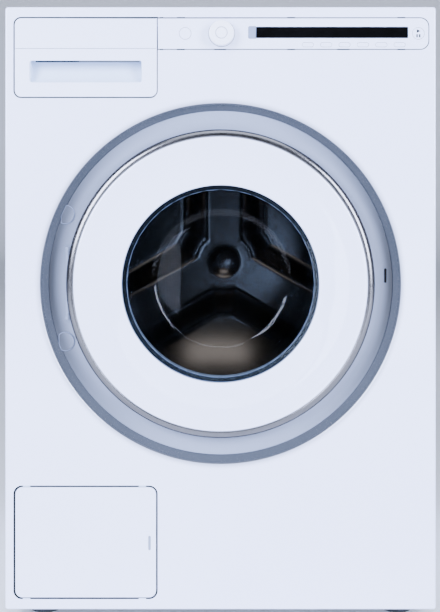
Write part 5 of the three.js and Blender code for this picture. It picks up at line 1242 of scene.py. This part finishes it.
class WasherSettings(bpy.types.PropertyGroup):
    """Sizes and colours that a user would change."""

    body_colour: FloatVectorProperty(
        name="Body Tint", description="Tint over the enamel of the cabinet", subtype="COLOR", size=3, min=0, max=1,
        default=(1.0, 1.0, 1.0),
    )
    cabinet_edge: FloatProperty(
        name="Cabinet Edge", description="Radius of the front sheet's rounded edges", default=0.003, min=0.0005,
        max=0.008, unit="LENGTH",
    )
    trim_width: FloatProperty(
        name="Trim Width", description="Width of the bright trim round the door", default=0.0097, min=0.003,
        max=0.0097, unit="LENGTH",
    )
    segments: IntProperty(
        name="Round Segments", description="Segments of the large round pieces", default=192, min=48, max=384
    )
    hole_size: FloatProperty(
        name="Drum Hole", description="Diameter of the drum's holes", default=0.0034, min=0.001, max=0.008,
        unit="LENGTH",
    )
    hole_columns: IntProperty(name="Hole Columns", description="Holes round the drum", default=84, min=12, max=160)
    hole_rows: IntProperty(name="Hole Rows", description="Rows of holes along the drum", default=14, min=2, max=40)
    camera_distance: FloatProperty(
        name="Camera Distance", description="Distance from the camera to the machine's front", default=1.75, min=1.0,
        max=6.0, unit="LENGTH",
    )
    room_light: FloatProperty(
        name="Room Light", description="Strength of the even light all round", default=0.14, min=0.0, max=3.0
    )


class WASHER_OT_looks(bpy.types.Operator):
    """Make every material of the machine"""

    bl_idname = "washer.looks"
    bl_label = "Materials"

    def execute(self, context):
        make_looks(context.scene.washer)
        return {"FINISHED"}


class WASHER_OT_cabinet(bpy.types.Operator):
    """Build the front sheet, the wrap, the top panel, the base and the rear cover"""

    bl_idname = "washer.cabinet"
    bl_label = "Cabinet"

    def execute(self, context):
        build_cabinet(context.scene.washer)
        return {"FINISHED"}


class WASHER_OT_surround(bpy.types.Operator):
    """Build the ring on the dish's floor and the hinge covers"""

    bl_idname = "washer.surround"
    bl_label = "Door Surround"

    def execute(self, context):
        build_surround(context.scene.washer)
        return {"FINISHED"}


class WASHER_OT_fascia(bpy.types.Operator):
    """Build the control strip and its display window"""

    bl_idname = "washer.fascia"
    bl_label = "Control Fascia"

    def execute(self, context):
        build_fascia()
        return {"FINISHED"}


class WASHER_OT_buttons(bpy.types.Operator):
    """Build the round and oval push buttons"""

    bl_idname = "washer.buttons"
    bl_label = "Buttons"

    def execute(self, context):
        build_buttons()
        return {"FINISHED"}


class WASHER_OT_knob(bpy.types.Operator):
    """Build the knob and the button in its middle"""

    bl_idname = "washer.knob"
    bl_label = "Programme Knob"

    def execute(self, context):
        build_knob()
        return {"FINISHED"}


class WASHER_OT_drawer(bpy.types.Operator):
    """Build the drawer's front, its handle pocket and its tray"""

    bl_idname = "washer.drawer"
    bl_label = "Detergent Drawer"

    def execute(self, context):
        build_drawer()
        return {"FINISHED"}


class WASHER_OT_flap(bpy.types.Operator):
    """Build the flap in front of the drain filter"""

    bl_idname = "washer.flap"
    bl_label = "Service Flap"

    def execute(self, context):
        build_flap()
        return {"FINISHED"}


class WASHER_OT_door(bpy.types.Operator):
    """Build the door's ring, trim, glass bowl and inner frame"""

    bl_idname = "washer.door"
    bl_label = "Door"

    def execute(self, context):
        build_door(context.scene.washer)
        return {"FINISHED"}


class WASHER_OT_drum(bpy.types.Operator):
    """Build the perforated drum, its star and its lifters"""

    bl_idname = "washer.drum"
    bl_label = "Drum"

    def execute(self, context):
        build_drum(context.scene.washer)
        return {"FINISHED"}


class WASHER_OT_inside(bpy.types.Operator):
    """Build the tub, the seal, the drive and the other pieces behind the panels"""

    bl_idname = "washer.inside"
    bl_label = "Inside"

    def execute(self, context):
        build_inside(context.scene.washer)
        return {"FINISHED"}


class WASHER_OT_feet(bpy.types.Operator):
    """Build the four screw feet"""

    bl_idname = "washer.feet"
    bl_label = "Feet"

    def execute(self, context):
        build_feet()
        return {"FINISHED"}


class WASHER_OT_stage(bpy.types.Operator):
    """Build the floor, the lights and the camera"""

    bl_idname = "washer.stage"
    bl_label = "Stage"

    def execute(self, context):
        build_stage(context.scene.washer)
        return {"FINISHED"}


class WASHER_PT_panel(bpy.types.Panel):
    """Sidebar panel with the machine's settings and its building steps"""

    bl_label = "Washing Machine"
    bl_idname = "WASHER_PT_panel"
    bl_space_type = "VIEW_3D"
    bl_region_type = "UI"
    bl_category = "Washer"

    def draw(self, context):
        column = self.layout.column()
        for name in WasherSettings.__annotations__:
            column.prop(context.scene.washer, name)
        column.separator()
        for step in OPERATORS:
            column.operator(step.bl_idname)


OPERATORS = (
    WASHER_OT_looks,
    WASHER_OT_cabinet,
    WASHER_OT_surround,
    WASHER_OT_fascia,
    WASHER_OT_buttons,
    WASHER_OT_knob,
    WASHER_OT_drawer,
    WASHER_OT_flap,
    WASHER_OT_door,
    WASHER_OT_drum,
    WASHER_OT_inside,
    WASHER_OT_feet,
    WASHER_OT_stage,
)


def register():
    """Registers the settings, the operators and the panel."""
    for one in (WasherSettings, *OPERATORS, WASHER_PT_panel):
        bpy.utils.register_class(one)
    bpy.types.Scene.washer = PointerProperty(type=WasherSettings)


def unregister():
    """Removes what register added."""
    del bpy.types.Scene.washer
    for one in reversed((WasherSettings, *OPERATORS, WASHER_PT_panel)):
        bpy.utils.unregister_class(one)


def main():
    register()
    for step in OPERATORS:
        family, name = step.bl_idname.split(".")
        getattr(getattr(bpy.ops, family), name)()


if __name__ == "__main__":
    main()
